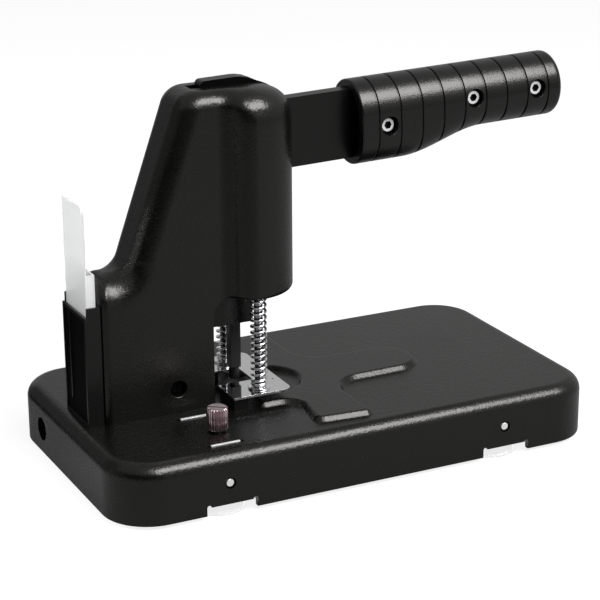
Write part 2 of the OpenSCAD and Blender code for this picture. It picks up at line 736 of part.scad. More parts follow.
module column_housing() {
    slot_w = lever_t + 2 * slide_clear + 0.6;
    color(satin_black) at_origin() difference() {
        union() {
            difference() {
                skin(housing_rings, [for (z = [deck_z, head_z]) [nose_x - 8.5, 0, z]]);
                across(100) throat_2d();
                translate([column_x + column_t, column_t - column_hw, deck_z - 1])
                    cube([throat_x - column_x - 2 * column_t, column_w - 2 * column_t, lower_top - deck_z + 1]);
                across(2 * upper_hw) neck_cavity_2d();
                nose_cavity();
            }
            for (sy = [-1, 1])
                rod_y(cover_screw_x, cover_screw_z, min(sy * cover_boss, sy * (column_hw - 1)),
                      max(sy * cover_boss, sy * (column_hw - 1)), cover_recess_d + 5);
        }
        for (sy = [-1, 1]) {
            rod_y(cover_screw_x, cover_screw_z, min(sy * cover_seat, sy * (column_hw + 1)),
                  max(sy * cover_seat, sy * (column_hw + 1)), cover_recess_d);
        }
        rod_y(cover_screw_x, cover_screw_z, -column_hw, column_hw, 4 + 2 * seat_clear);
        across(slot_w) slot_cut_2d();
        for (z = holder_screw_z) rod_x(0, z, column_x - 1, column_x + column_t + 1, holder_screw_d + 2 * seat_clear);
    }
}

module housing_screws() {
    color(steel) at_origin() for (sy = [-1, 1]) mirror([0, sy < 0 ? 0 : 1, 0]) difference() {
        union() {
            rod_y(cover_screw_x, cover_screw_z, -cover_seat - 2, -cover_seat, cover_recess_d - 0.7);
            rod_y(cover_screw_x, cover_screw_z, -cover_seat, -frame_hw + 4, 4);
        }
        translate([cover_screw_x, -cover_seat - 2, cover_screw_z]) cube([1, 2, 4.4], center = true);
        translate([cover_screw_x, -cover_seat - 2, cover_screw_z]) cube([4.4, 2, 1], center = true);
    }
}

module lever_frame() {
    rear = column_x + column_t + 1;
    front = throat_x - column_t - 1.5;
    boss = 11;
    color(steel) at_origin() difference() {
        union() {
            for (sy = [-1, 1]) translate([0, sy * (cheek_y + cheek_t / 2), 0]) across(cheek_t) {
                polygon([
                    [rear + 2, deck_z], [rear + 2, shoulder_z - 22], [slope_at(sweep_z) + 6, shoulder_z],
                    [pivot_x - boss, pivot_z - 8], [pivot_x - boss, pivot_z], [pivot_x + boss, pivot_z],
                    [pivot_x + boss, pivot_z - 26], [front, pivot_z - 46], [front, deck_z]]);
                translate([pivot_x, pivot_z]) circle(r = boss);
            }
            translate([rear, -frame_foot_hw, deck_z])
                cube([front - rear, 2 * frame_foot_hw, frame_foot_t]);
            for (sy = [-1, 1])
                rod_y(cover_screw_x, cover_screw_z, min(sy * cheek_y, sy * lug_end),
                      max(sy * cheek_y, sy * lug_end), 11);
        }
        rod_y(pivot_x, pivot_z, -column_hw, column_hw, pivot_d + 2 * seat_clear);
        rod_y(cover_screw_x, cover_screw_z, -column_hw, column_hw, 4 + 2 * seat_clear);
        for (p = frame_bolts_at)
            rod_z(p[0], p[1], deck_z - 1, deck_z + frame_foot_t + 1, frame_bolt_d + 2 * seat_clear);
    }
}

module frame_bolts() {
    color(steel) at_origin() for (p = frame_bolts_at) difference() {
        union() {
            rod_z(p[0], p[1], deck_low - frame_head_h, deck_low, 1.8 * frame_bolt_d);
            rod_z(p[0], p[1], deck_low, deck_z + frame_foot_t, frame_bolt_d);
        }
        translate([p[0], p[1], deck_low - 1.5 * frame_head_h])
            cylinder(d = 0.9 * frame_bolt_d, h = 1.05 * frame_head_h, $fn = 6);
    }
}

module pivot_pin() {
    end = frame_hw + ring_t + 1.6;
    color(steel) at_origin() difference() {
        rod_y(pivot_x, pivot_z, -end, end, pivot_d);
        for (sy = [-1, 1]) translate([pivot_x, sy * (frame_hw + 0.1 + ring_t / 2), pivot_z]) rotate([90, 0, 0])
            difference() {
                cylinder(d = pivot_d + 2, h = ring_t + 0.1, center = true);
                cylinder(d = pivot_d - 1.6, h = ring_t + 1, center = true);
            }
    }
}

module pivot_rings() {
    color(steel) at_origin() for (sy = [-1, 1])
        translate([pivot_x, sy * (frame_hw + 0.1 + ring_t / 2), pivot_z]) rotate([90, 0, 0]) difference() {
            cylinder(d = pivot_d + 5, h = ring_t, center = true);
            cylinder(d = pivot_d - 1.6 + 2 * seat_clear, h = ring_t + 1, center = true);
            translate([0, -pivot_d, 0]) cube([pivot_d - 3, 2 * pivot_d, ring_t + 1], center = true);
        }
}

// Outline of the part of the bar inside the grip, with room c round it, in X and Z
module bar_end_2d(c) {
    neck = grip_w / 2 - 7;
    mid = grip_top - grip_w / 2;
    polygon([
        [grip_x0 - 20, pivot_z - bar_low - c], [taper_x0, pivot_z - bar_low - c],
        [(taper_x0 + taper_x1) / 2 + 4, pivot_z + mid - neck - c], [bar_end + c, pivot_z + mid - neck - c],
        [bar_end + c, pivot_z + mid + neck + c], [taper_x0 + 12, pivot_z + bar_top + c],
        [grip_x0 - 20, pivot_z + bar_top + c]]);
}

module lever_arm() {
    boss = 10.5;
    slot_r = link_d / 2 + link_clear;
    slot_run = link_arm * (1 / cos(lever_swing - lever_rise) - 1) + 0.6;
    color(satin_black) at_origin() raised() difference() {
        across(lever_t) union() {
            bar_end_2d(0);
            polygon([
                [pivot_x, pivot_z - boss], [pivot_x + 14, pivot_z - bar_low], [grip_x0, pivot_z - bar_low],
                [grip_x0, pivot_z + bar_top], [hump_x1 + 22, pivot_z + bar_top],
                [hump_x1 + 9, pivot_z + hump_top - 5.5], [hump_x1, pivot_z + hump_top],
                [hump_x0 + 4, pivot_z + hump_top], [hump_x0, pivot_z + hump_top - 4],
                [hump_x0, pivot_z + bar_top], [pivot_x - 7, pivot_z + boss * 0.745]]);
            translate([pivot_x, pivot_z]) circle(r = boss);
        }
        rod_y(pivot_x, pivot_z, -lever_t, lever_t, bush_d + 2 * seat_clear);
        for (x = [punch_x - 0.3, punch_x + slot_run]) rod_y(x, pivot_z, -lever_t, lever_t, 2 * slot_r);
        translate([punch_x - 0.3, -lever_t, pivot_z - slot_r]) cube([slot_run + 0.3, 2 * lever_t, 2 * slot_r]);
        for (p = grip_screws_at) rod_y(p[0], pivot_z + p[1], -lever_t, lever_t, grip_screw_d + 2 * slide_clear);
    }
}

module lever_bush() {
    color(bronze) at_origin() raised() difference() {
        rod_y(pivot_x, pivot_z, -lever_t / 2, lever_t / 2, bush_d);
        rod_y(pivot_x, pivot_z, -lever_t, lever_t, pivot_d + 2 * run_clear);
    }
}

// One half of the grip, on the front side
module grip_side() {
    difference() {
        translate([0, 0, pivot_z]) skin(grip_rings, mean_ends(grip_rings));
        across(lever_t + 2 * seat_clear) bar_end_2d(0.3);
        translate([grip_x0 - 1, 0, pivot_z]) rotate([90, 0, 90]) linear_extrude(grip_mouth + 1) polygon(concat(
            arc([0, grip_top - grip_w / 2], grip_w / 2 - grip_wall, 0, 180, 16),
            arc([0, grip_top - grip_h + grip_w / 2], grip_w / 2 - grip_wall, 180, 360, 16)));
        for (p = grip_screws_at) {
            rod_y(p[0], pivot_z + p[1], -grip_w, 1, grip_screw_d + 2 * slide_clear);
            rod_y(p[0], pivot_z + p[1], -grip_w, -grip_seat, grip_recess_d);
        }
    }
}

module grip_front() {
    color(grip_black) at_origin() raised() grip_side();
}

module grip_rear() {
    color(grip_black) at_origin() raised() mirror([0, 1, 0]) grip_side();
}

module grip_screws() {
    head_d = grip_screw_d + 3.5;
    color(bright) at_origin() raised() for (p = grip_screws_at) difference() {
        union() {
            rod_y(p[0], pivot_z + p[1], -grip_seat - grip_screw_d, -grip_seat, head_d);
            rod_y(p[0], pivot_z + p[1], -grip_seat, grip_seat + grip_screw_d, grip_screw_d);
        }
        translate([p[0], -grip_seat - grip_screw_d - 1, pivot_z + p[1]]) rotate([-90, 0, 0])
            cylinder(d = grip_screw_d * 0.92, h = grip_screw_d * 0.6 + 1, $fn = 6);
    }
}

module grip_nuts() {
    color(bright) at_origin() raised() for (p = grip_screws_at) difference() {
        translate([p[0], grip_seat, pivot_z + p[1]]) rotate([-90, 0, 0])
            cylinder(d = grip_screw_d * 1.84, h = grip_screw_d * 0.8, $fn = 6);
        rod_y(p[0], pivot_z + p[1], grip_seat - 1, grip_seat + grip_screw_d, grip_screw_d + 2 * seat_clear);
    }
}

module ram() {
    color(satin_black) at_origin() difference() {
        union() {
            translate([ram_x0, -ram_w / 2, ram_z]) cube([ram_x1 - ram_x0, ram_w, web_z - ram_z]);
            translate([post_x - wing_r, -post_y, wing_z]) cube([2 * wing_r, 2 * post_y, wing_t]);
            for (sy = [-1, 1]) rod_z(post_x, sy * post_y, wing_z, wing_z + wing_t, 2 * wing_r);
            for (sy = [-1, 1]) translate([0, sy * (ear_y + 3), 0]) across(6) {
                translate([punch_x - ear_r, web_z - 1]) square([2 * ear_r, link_z - web_z + 1]);
                translate([punch_x, link_z]) circle(r = ear_r);
            }
        }
        rod_y(punch_x, link_z, -ram_w, ram_w, link_d + 2 * seat_clear);
        translate([punch_x, 0, ram_z + socket_l / 2 - 0.5])
            cube([shank_w + 2 * seat_clear, shank_w + 2 * seat_clear, socket_l + 1], center = true);
        for (sy = [-1, 1])
            rod_z(post_x, sy * post_y, wing_z - 1, wing_z + wing_t + 1, post_bush_d + 2 * seat_clear);
        rod_x(0, ram_z + socket_l / 2, punch_x, ram_x1 + 1, 4 + 2 * seat_clear);
    }
}

module link_pin() {
    color(steel) at_origin() rod_y(punch_x, link_z, -ear_y - 6, ear_y + 6, link_d);
}

module post_bushes() {
    color(bronze) at_origin() for (sy = [-1, 1]) difference() {
        rod_z(post_x, sy * post_y, wing_z, wing_z + wing_t, post_bush_d);
        rod_z(post_x, sy * post_y, wing_z - 1, wing_z + wing_t + 1, post_d + 2 * run_clear);
    }
}

module punch() {
    color(satin_black) at_origin() difference() {
        union() {
            translate([punch_x - shank_w / 2, -shank_w / 2, shank_z])
                cube([shank_w, shank_w, ram_z + socket_l - shank_z]);
            rod_z(punch_x, 0, tip_z, shank_z + 1, tip_d);
        }
        rod_z(punch_x, 0, tip_z - 1, tip_z + 1.2, tip_d - 1.4);
    }
}

module punch_set_screw() {
    start = punch_x + shank_w / 2 + seat_clear;
    color(steel) at_origin() difference() {
        rod_x(0, ram_z + socket_l / 2, start, ram_x1, 4);
        translate([ram_x1 - 2, 0, ram_z + socket_l / 2]) rotate([0, 90, 0]) cylinder(d = 2, h = 3, $fn = 6);
    }
}

module return_spring(y, side) {
    color(bright) at_origin() translate([post_x, y, 0]) rotate([0, 0, side])
        skin(wire_rings, mean_ends(wire_rings));
}

module return_spring_front() {
    return_spring(-post_y, 0);
}

module return_spring_rear() {
    return_spring(post_y, 180);
}

module spring_washers() {
    color(bright) at_origin() for (sy = [-1, 1]) difference() {
        union() {
            rod_z(post_x, sy * post_y, plate_z, plate_z + washer_t, washer_d);
            rod_z(post_x, sy * post_y, plate_z, spring_z0 + 1.4, spring_d - 2 * wire_d - 0.5);
        }
        rod_z(post_x, sy * post_y, plate_z - 1, spring_z0 + 3, post_d + 2 * seat_clear);
    }
}

module guide_posts() {
    color(bright) at_origin() for (sy = [-1, 1]) {
        rod_z(post_x, sy * post_y, plate_low, post_top - 1, post_d);
        translate([post_x, sy * post_y, post_top - 1]) cylinder(d1 = post_d, d2 = post_d - 2, h = 1);
    }
}

module stripper_plate() {
    l = plate_x1 - plate_x0;
    color(bright) at_origin() translate([0, 0, plate_low]) linear_extrude(plate_t) difference() {
        translate([(plate_x0 + plate_x1) / 2, 0]) rounded_rect(l, plate_w, plate_r);
        translate([plate_x0 - 1, -plate_gap_w / 2]) square([plate_gap_x - plate_x0 + 1, plate_gap_w]);
        for (sy = [-1, 1]) translate([post_x, sy * post_y]) circle(d = post_d + 2 * seat_clear);
        translate([plate_x1 - 4, -post_y + 9]) circle(d = 1.2);
    }
}

module plate_supports() {
    x0 = plate_x0 - 5;
    x1 = punch_x - tip_d / 2 - 2;
    y0 = plate_gap_w / 2 + 0.6;
    color(satin_black) at_origin() for (sy = [-1, 1]) difference() {
        translate([x0, sy > 0 ? y0 : -plate_w / 2 + 2.5, deck_z])
            cube([x1 - x0, plate_w / 2 - 2.5 - y0, plate_low - deck_z]);
        for (p = plate_screws_at) rod_z(p[0], p[1], deck_z - 1, plate_low - 1, plate_screw_d + 2 * seat_clear);
    }
}

module plate_screws() {
    color(steel) at_origin() for (p = plate_screws_at) difference() {
        union() {
            rod_z(p[0], p[1], deck_low, plate_low - 1.5, plate_screw_d);
            rod_z(p[0], p[1], deck_low - plate_head_h, deck_low, plate_head_d);
        }
        translate([p[0], p[1], deck_low - 1.5 * plate_head_h])
            cylinder(d = 0.8 * plate_screw_d, h = 1.05 * plate_head_h, $fn = 6);
    }
}

module die_bush() {
    color(steel) at_origin() difference() {
        union() {
            rod_z(punch_x, 0, deck_z, rest_z, die_flange_d);
            rod_z(punch_x, 0, deck_z - die_l, deck_z + 1, die_d);
        }
        rod_z(punch_x, 0, deck_z - die_l - 1, rest_z + 1, tip_d + 2 * die_clear);
        rod_z(punch_x, 0, deck_z - die_l - 1, rest_z - 8, tip_d + 2);
    }
}

module gauge_slide() {
    plate_top = deck_low - slide_clear;
    t = 3;
    color(bright) at_origin() difference() {
        union() {
            translate([gauge_x - key_l / 2 - 2, gauge_y1 - 3, plate_top - t])
                cube([key_l + 4, gauge_y0 - gauge_y1 + 6, t]);
            for (y = [gauge_y0, gauge_y1])
                translate([gauge_x - key_l / 2, y - key_t / 2, plate_top - 1])
                    cube([key_l, key_t, deck_z - plate_top + 1.5]);
        }
        rod_z(knob_x, knob_y, plate_top - t - 1, plate_top + 1, stud_d + 2 * seat_clear);
    }
}

module gauge_thumbscrew() {
    foot = deck_z + slide_clear;
    rib_r = 0.55;
    color(rosy_nickel) at_origin() translate([knob_x, knob_y, 0]) difference() {
        union() {
            translate([0, 0, foot]) cylinder(d = knob_d - 2 * rib_r, h = knob_h - 0.8);
            translate([0, 0, foot + knob_h - 0.8]) cylinder(d1 = knob_d - 2 * rib_r, d2 = knob_d - 2.6, h = 0.8);
            for (i = [0 : knob_ribs - 1]) rotate(i * 360 / knob_ribs)
                translate([knob_d / 2 - rib_r, 0, foot + 0.4])
                    cylinder(r = rib_r, h = knob_h - 1.4, $fn = 6);
            translate([0, 0, deck_low - 6]) cylinder(d = stud_d, h = foot + 1 - deck_low + 6);
        }
        translate([0, 0, foot + knob_h]) cube([knob_d + 2, 1.1, 3], center = true);
    }
}

module box_holder() {
    depth = column_x - holder_front + holder_t;
    window_w = (2 * (holder_hw - holder_t) - 3 * 4) / 2;
    color(satin_black) at_origin() difference() {
        translate([holder_front - holder_t, -holder_hw, deck_z])
            cube([depth, 2 * holder_hw, holder_z + holder_step - deck_z]);
        translate([holder_front, -holder_hw + holder_t, deck_z + holder_t])
            cube([holder_gap, 2 * (holder_hw - holder_t), holder_z]);
        translate([holder_front - holder_t - 1, -holder_hw - 1, holder_z])
            cube([holder_t + 1, 2 * holder_hw + 2, holder_step + 1]);
        for (sy = [-1, 1]) translate([holder_front - holder_t - 1, sy * (window_w + 4) / 2 - window_w / 2,
                                      deck_z + 12])
            cube([holder_t + 2, window_w, holder_z - deck_z - 16]);
        for (z = holder_screw_z) {
            rod_x(0, z, holder_back - 1, column_x + 1, holder_screw_d + 2 * seat_clear);
            translate([holder_back - eps, 0, z]) rotate([0, 90, 0])
                cylinder(d1 = holder_head_d + 2 * seat_clear, d2 = holder_screw_d + 2 * seat_clear, h = holder_head_h);
        }
    }
}

module holder_screws() {
    color(steel) at_origin() for (z = holder_screw_z) difference() {
        union() {
            translate([holder_back, 0, z]) rotate([0, 90, 0])
                cylinder(d1 = holder_head_d, d2 = holder_screw_d, h = holder_head_h);
            rod_x(0, z, holder_back + holder_head_h / 2, column_x + column_t, holder_screw_d);
        }
        translate([holder_back, 0, z])
            cube([0.8 * holder_head_h, 0.13 * holder_head_d, 0.7 * holder_head_d], center = true);
    }
}

module storage_box() {
    bottom = deck_z + holder_t + slide_clear;
    color(clear_plastic) at_origin() {
        difference() {
            translate([box_x0, -box_hw, bottom]) cube([box_x1 - box_x0, 2 * box_hw, box_z - bottom]);
            translate([box_x0 + box_t, -box_hw + box_t, bottom + box_t])
                cube([box_x1 - box_x0 - 2 * box_t, 2 * (box_hw - box_t), box_z]);
        }
        translate([box_x0 + box_t, 0, box_z - 1]) rotate([0, -90, 0]) linear_extrude(box_t)
            polygon([[0, -box_hw], [0, box_hw], [tab_z - box_z + 1, box_hw], [tab_z - box_z + 1, 2 - box_hw],
                     [tab_z - box_z - 3, -box_hw]]);
    }
}

base_shell();
bottom_sheet();
bottom_screws();
suction_feet();
foot_pins();
column_housing();
housing_screws();
lever_frame();
frame_bolts();
pivot_pin();
pivot_rings();
lever_arm();
lever_bush();
grip_front();
grip_rear();
grip_screws();
grip_nuts();
ram();
link_pin();
post_bushes();
punch();
punch_set_screw();
return_spring_front();
return_spring_rear();
spring_washers();
guide_posts();
stripper_plate();
plate_supports();
plate_screws();
die_bush();
gauge_slide();
gauge_thumbscrew();
box_holder();
holder_screws();
storage_box();
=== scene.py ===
# %% [markdown]
# # Heavy duty hole punch
# A broad black base carries a column whose round nose hangs over the paper. A long lever swings down in the
# nose and pushes a sprung ram with the punch through a gap into a die. The CAD model already has every
# piece in its place, so this lesson loads it first and then gives each visible piece its soft edges, its
# fine forms and its finish. Sizes are in millimetres and agree with the CAD model, so no piece has to be
# fitted into its place.

# %% Load the frame
import math

import bmesh
import bpy
import numpy as np
from mathutils import Matrix, Vector


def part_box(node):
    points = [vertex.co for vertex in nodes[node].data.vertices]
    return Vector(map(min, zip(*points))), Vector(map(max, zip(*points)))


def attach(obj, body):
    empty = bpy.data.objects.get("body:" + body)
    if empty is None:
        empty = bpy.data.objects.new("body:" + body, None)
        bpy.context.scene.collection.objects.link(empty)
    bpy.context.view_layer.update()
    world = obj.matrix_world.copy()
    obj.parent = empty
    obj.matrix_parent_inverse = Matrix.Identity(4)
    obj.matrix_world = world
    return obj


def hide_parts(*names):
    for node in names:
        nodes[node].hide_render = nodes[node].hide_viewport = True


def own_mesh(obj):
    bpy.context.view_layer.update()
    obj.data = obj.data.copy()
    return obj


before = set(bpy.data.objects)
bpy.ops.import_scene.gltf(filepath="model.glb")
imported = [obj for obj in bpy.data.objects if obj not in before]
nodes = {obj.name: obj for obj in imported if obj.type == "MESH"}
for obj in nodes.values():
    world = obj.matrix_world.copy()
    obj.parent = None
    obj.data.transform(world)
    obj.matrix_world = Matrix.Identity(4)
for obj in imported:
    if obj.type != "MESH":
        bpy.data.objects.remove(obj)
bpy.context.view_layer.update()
print("CAD nodes:", len(nodes))

# %% [markdown]
# The pieces are drawn along the base, from its middle. The model's origin lies under the middle of the
# whole outline, so one shift takes a drawing to its place. The lever's pieces are drawn level and then
# raised to the small angle at which the lever rests.

# %% Places and sizes shared by the pieces, in millimetres
MM = 0.001
PER_METRE = 1000
base_low, base_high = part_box("base_shell")
# The shift alone is in metres, as the frame is.
SHIFT = (base_low.x + base_high.x) / 2
BASE_L = (base_high.x - base_low.x) * PER_METRE
BASE_W = (base_high.y - base_low.y) * PER_METRE
DECK_Z = 36.8
REST_Z = 39.8
PIVOT_X = -76.0
PIVOT_Z = 186.0
LEVER_RISE = math.radians(1.6)


def placed(points):
    """Points in millimetres along the base, as metres in the model's frame."""
    return np.asarray(points, float) * MM + np.array([SHIFT, 0.0, 0.0])


def raised(points):
    """Turns points of the lever, drawn level, up to the lever's rest."""
    points = np.array(points, float)
    x = points[:, 0] - PIVOT_X
    z = points[:, 2] - PIVOT_Z
    points[:, 0] = PIVOT_X + x * math.cos(LEVER_RISE) - z * math.sin(LEVER_RISE)
    points[:, 2] = PIVOT_Z + x * math.sin(LEVER_RISE) + z * math.cos(LEVER_RISE)
    return points


print("base", round(BASE_L, 1), "x", round(BASE_W, 1), "mm")

# %% [markdown]
# A few mesh helpers follow. A loft joins rings of points into a closed skin, and a prism pushes a flat
# outline along one axis. Cutters made with them are taken out of a piece with boolean modifiers, which are
# applied at once, so that every finished piece is a plain mesh.

# %% Mesh helpers
JOIN_DISTANCE = 0.002 * MM
FLAT_ANGLE = math.radians(1)


def linked(name, data):
    """A new object in the scene, made from a mesh, a lamp or a camera."""
    obj = bpy.data.objects.new(name, data)
    bpy.context.scene.collection.objects.link(obj)
    return obj


def mesh_object(name, points, faces, turn=None):
    """A new object with outward faces. Points are in millimetres along the base."""
    points = np.asarray(points, float)
    if turn is not None:
        points = turn(points)
    mesh = bpy.data.meshes.new(name)
    mesh.from_pydata([tuple(p) for p in placed(points)], [], [tuple(int(i) for i in f) for f in faces])
    bm = bmesh.new()
    bm.from_mesh(mesh)
    bmesh.ops.recalc_face_normals(bm, faces=bm.faces)
    bm.to_mesh(mesh)
    bm.free()
    return linked(name, mesh)


def loft(rings):
    """Points and faces of a closed skin through rings of equal counts."""
    rings = np.asarray(rings, float)
    m, n = rings.shape[:2]
    faces = [tuple(range(n))]
    for j in range(m - 1):
        for i in range(n):
            k = (i + 1) % n
            faces.append((j * n + i, j * n + k, (j + 1) * n + k, (j + 1) * n + i))
    faces.append(tuple((m - 1) * n + i for i in range(n)))
    return rings.reshape(-1, 3), faces


def prism(name, outline, axis, start, end, turn=None):
    """A closed prism: the outline lies across the axis, in the order of the two other axes."""
    order = {"x": (1, 2, 0), "y": (0, 2, 1), "z": (0, 1, 2)}[axis]
    rings = np.zeros((2, len(outline), 3))
    for ring, place in zip(rings, (start, end)):
        ring[:, order[0]] = [p[0] for p in outline]
        ring[:, order[1]] = [p[1] for p in outline]
        ring[:, order[2]] = place
    return mesh_object(name, *loft(rings), turn=turn)


def arc(centre, radius, first, last, count):
    """Points along a circular arc, with its angles in degrees."""
    angles = np.radians(np.linspace(first, last, count))
    return [(centre[0] + radius * math.cos(a), centre[1] + radius * math.sin(a)) for a in angles]


def rod(name, axis, place, radius, start, end, count=48, turn=None):
    """A round prism along an axis."""
    outline = arc(place, radius, 0, 360 - 360 / count, count)
    return prism(name, outline, axis, start, end, turn)


def block(name, low, high):
    """A box between two corners."""
    outline = [(low[0], low[1]), (high[0], low[1]), (high[0], high[1]), (low[0], high[1])]
    return prism(name, outline, "z", low[2], high[2])


def lathe(profile, centre, count=64):
    """Rings round a vertical line, from pairs of radius and height."""
    angles = np.linspace(0, 2 * math.pi, count, endpoint=False)
    rings = []
    for r, z in profile:
        rings.append([(centre[0] + r * math.cos(a), centre[1] + r * math.sin(a), z) for a in angles])
    return rings


print("outline helpers ready")

# %% Helpers that cut, soften and finish a piece


def apply_modifiers(obj):
    """Turns the evaluated result of an object into its plain mesh."""
    depsgraph = bpy.context.evaluated_depsgraph_get()
    mesh = bpy.data.meshes.new_from_object(obj.evaluated_get(depsgraph), depsgraph=depsgraph)
    obj.modifiers.clear()
    before = obj.data
    obj.data = mesh
    bpy.data.meshes.remove(before)
    return obj


def carve(obj, cutters, operation="DIFFERENCE"):
    """Takes cutters out of a piece, or joins them to it, and removes them."""
    for cutter in cutters:
        modifier = obj.modifiers.new("carve", "BOOLEAN")
        modifier.operation = operation
        modifier.solver = "MANIFOLD"
        modifier.object = cutter
        apply_modifiers(obj)
    for cutter in cutters:
        mesh = cutter.data
        bpy.data.objects.remove(cutter)
        bpy.data.meshes.remove(mesh)


def smooth(obj, sharp=38, bevel=0.0, segments=2):
    """Soft shading with crisp edges kept, after an optional small bevel in millimetres."""
    obj.data.shade_smooth()
    obj.data.set_sharp_from_angle(angle=math.radians(sharp))
    if bevel:
        modifier = obj.modifiers.new("edges", "BEVEL")
        modifier.width = bevel * MM
        modifier.segments = segments
        modifier.limit_method = "ANGLE"
        modifier.angle_limit = math.radians(sharp)
        modifier.harden_normals = True
    weighted = obj.modifiers.new("normals", "WEIGHTED_NORMAL")
    weighted.keep_sharp = not bevel
    return apply_modifiers(obj)


def merged_copy(node, name):
    """A copy of a CAD node with its loose triangles joined and its flat faces made whole."""
    source = nodes[node].data
    bm = bmesh.new()
    for v in source.vertices:
        bm.verts.new(v.co)
    bm.verts.ensure_lookup_table()
    for p in source.polygons:
        bm.faces.new([bm.verts[i] for i in p.vertices])
    bmesh.ops.remove_doubles(bm, verts=bm.verts, dist=JOIN_DISTANCE)
    bmesh.ops.dissolve_limit(bm, angle_limit=FLAT_ANGLE, verts=bm.verts, edges=bm.edges)
    mesh = bpy.data.meshes.new(name)
    bm.to_mesh(mesh)
    bm.free()
    return linked(name, mesh)


def join(first, pieces):
    """Joins pieces into the first of them."""
    with bpy.context.temp_override(active_object=first, object=first, selected_editable_objects=pieces):
        bpy.ops.object.join()


def settle(obj, material, body, node):
    """Gives a finished piece its material, its body and the CAD node it stands for."""
    obj.data.materials.clear()
    obj.data.materials.append(material)
    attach(obj, body)
    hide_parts(node)
    print(obj.name, "on", body, "with", len(obj.data.polygons), "faces")


def paint_faces(obj, material, chosen):
    """Gives a second material to the faces that a test on their middle and normal picks."""
    obj.data.materials.append(material)
    for face in obj.data.polygons:
        if chosen(face.center, face.normal):
            face.material_index = 1


print("piece helpers ready")

# %% [markdown]
# Node trees read better as sums than as lists of links. This class wraps one socket, so that `1 - mask` or
# `grain * 0.4` adds the Math nodes by itself. Every other node comes from its one method, `make`.

# %% A socket that can be used in sums


class Sock:
    """One output socket of a node tree."""

    def __init__(self, tree, out=None):
        self.tree = tree
        self.out = out

    def make(self, kind, settings=None, inputs=None, pick=0):
        """A new node. Its settings come first, then the values or links of its inputs."""
        node = self.tree.nodes.new(kind)
        for key, value in (settings or {}).items():
            setattr(node, key, value)
        for key, value in (inputs or {}).items():
            if isinstance(value, Sock):
                self.tree.links.new(value.out, node.inputs[key])
            else:
                node.inputs[key].default_value = value
        return Sock(self.tree, node.outputs[pick])

    def also(self, pick):
        """Another output of the same node."""
        return Sock(self.tree, self.out.node.outputs[pick])

    def sum_of(self, operation, a, b=0.0):
        """A Math node on one or two values."""
        return self.make("ShaderNodeMath", {"operation": operation}, {0: a, 1: b})

    def __add__(self, other):
        return self.sum_of("ADD", self, other)

    def __radd__(self, other):
        return self.sum_of("ADD", other, self)

    def __sub__(self, other):
        return self.sum_of("SUBTRACT", self, other)

    def __rsub__(self, other):
        return self.sum_of("SUBTRACT", other, self)

    def __mul__(self, other):
        return self.sum_of("MULTIPLY", self, other)

    def __truediv__(self, other):
        return self.sum_of("DIVIDE", self, other)


print("sums of sockets ready")

# %% Helpers for materials


def clear_tree(owner):
    """Empties the node tree of a material or of the world, and gives its start."""
    owner.use_nodes = True
    owner.node_tree.nodes.clear()
    return Sock(owner.node_tree)


def show(shader, kind="ShaderNodeOutputMaterial"):
    """Links a shader to the output of its tree."""
    output = shader.tree.nodes.new(kind)
    shader.tree.links.new(shader.out, output.inputs["Surface"])


def new_finish(name):
    """A material with a plain Principled shader, the start of its tree, the shader and Object coordinates."""
    material = bpy.data.materials.new(name)
    start = clear_tree(material)
    shader = start.make("ShaderNodeBsdfPrincipled")
    show(shader)
    return material, start, shader.out.node, start.make("ShaderNodeTexCoord", pick="Object")


def feed(start, shader, **sockets):
    """Links or sets sockets of a shader. Underscores in a name stand for spaces."""
    for key, value in sockets.items():
        socket = shader.inputs[key.replace("_", " ")]
        if isinstance(value, Sock):
            start.tree.links.new(value.out, socket)
        else:
            socket.default_value = value


def noise(start, place, size, detail=2.0):
    """Noise whose lumps are about size millimetres wide."""
    scale = PER_METRE / size
    return start.make("ShaderNodeTexNoise", inputs={"Vector": place, "Scale": scale, "Detail": detail})


def bumped(start, height, depth, strength=1.0):
    """A normal tilted by a height. The depth is in millimetres."""
    return start.make("ShaderNodeBump", inputs={
        "Strength": strength, "Distance": depth * MM, "Height": height})


def mixed(start, factor, a, b):
    """A colour between two colours."""
    return start.make(
        "ShaderNodeMix", {"data_type": "RGBA"}, {0: factor, 6: (*a, 1.0), 7: (*b, 1.0)}, pick=2
    )


def grey(level):
    """A colour with no hue."""
    return (level, level, level)


print("node helpers ready")

# %% [markdown]
# The housing and the base wear a black paint that dries with a fine grain, like a very small orange peel.
# Seen close, each grain tilts the gloss a little, so a highlight breaks up into white specks. Two sizes of
# noise feed a Bump node for this, and a broad, faint noise varies the colour and the gloss. The lever, the
# grip and the holder use the same recipe with a finer or flatter grain.

# %% Black finishes
COARSE_RATIO = 2.3
BROAD_SIZE = 42.0
WARM_GLOSS = (1.0, 0.985, 0.96, 1.0)


def black_finish(name, dark, light, grain, depth, rough, level):
    """A black between two tones, with a grain and its depth in millimetres. The level is its gloss."""
    material, start, shader, place = new_finish(name)
    fine = noise(start, place, grain, 2.0)
    coarse = noise(start, place, grain * COARSE_RATIO, 1.0)
    broad = noise(start, place, BROAD_SIZE, 3.0)
    feed(
        start,
        shader,
        Base_Color=mixed(start, broad, dark, light),
        Roughness=rough + (fine - 0.5) * 0.12 + (broad - 0.5) * 0.08,
        Normal=bumped(start, fine * 0.6 + coarse * 0.4, depth),
        Specular_IOR_Level=level,
        Specular_Tint=WARM_GLOSS,
    )
    return material


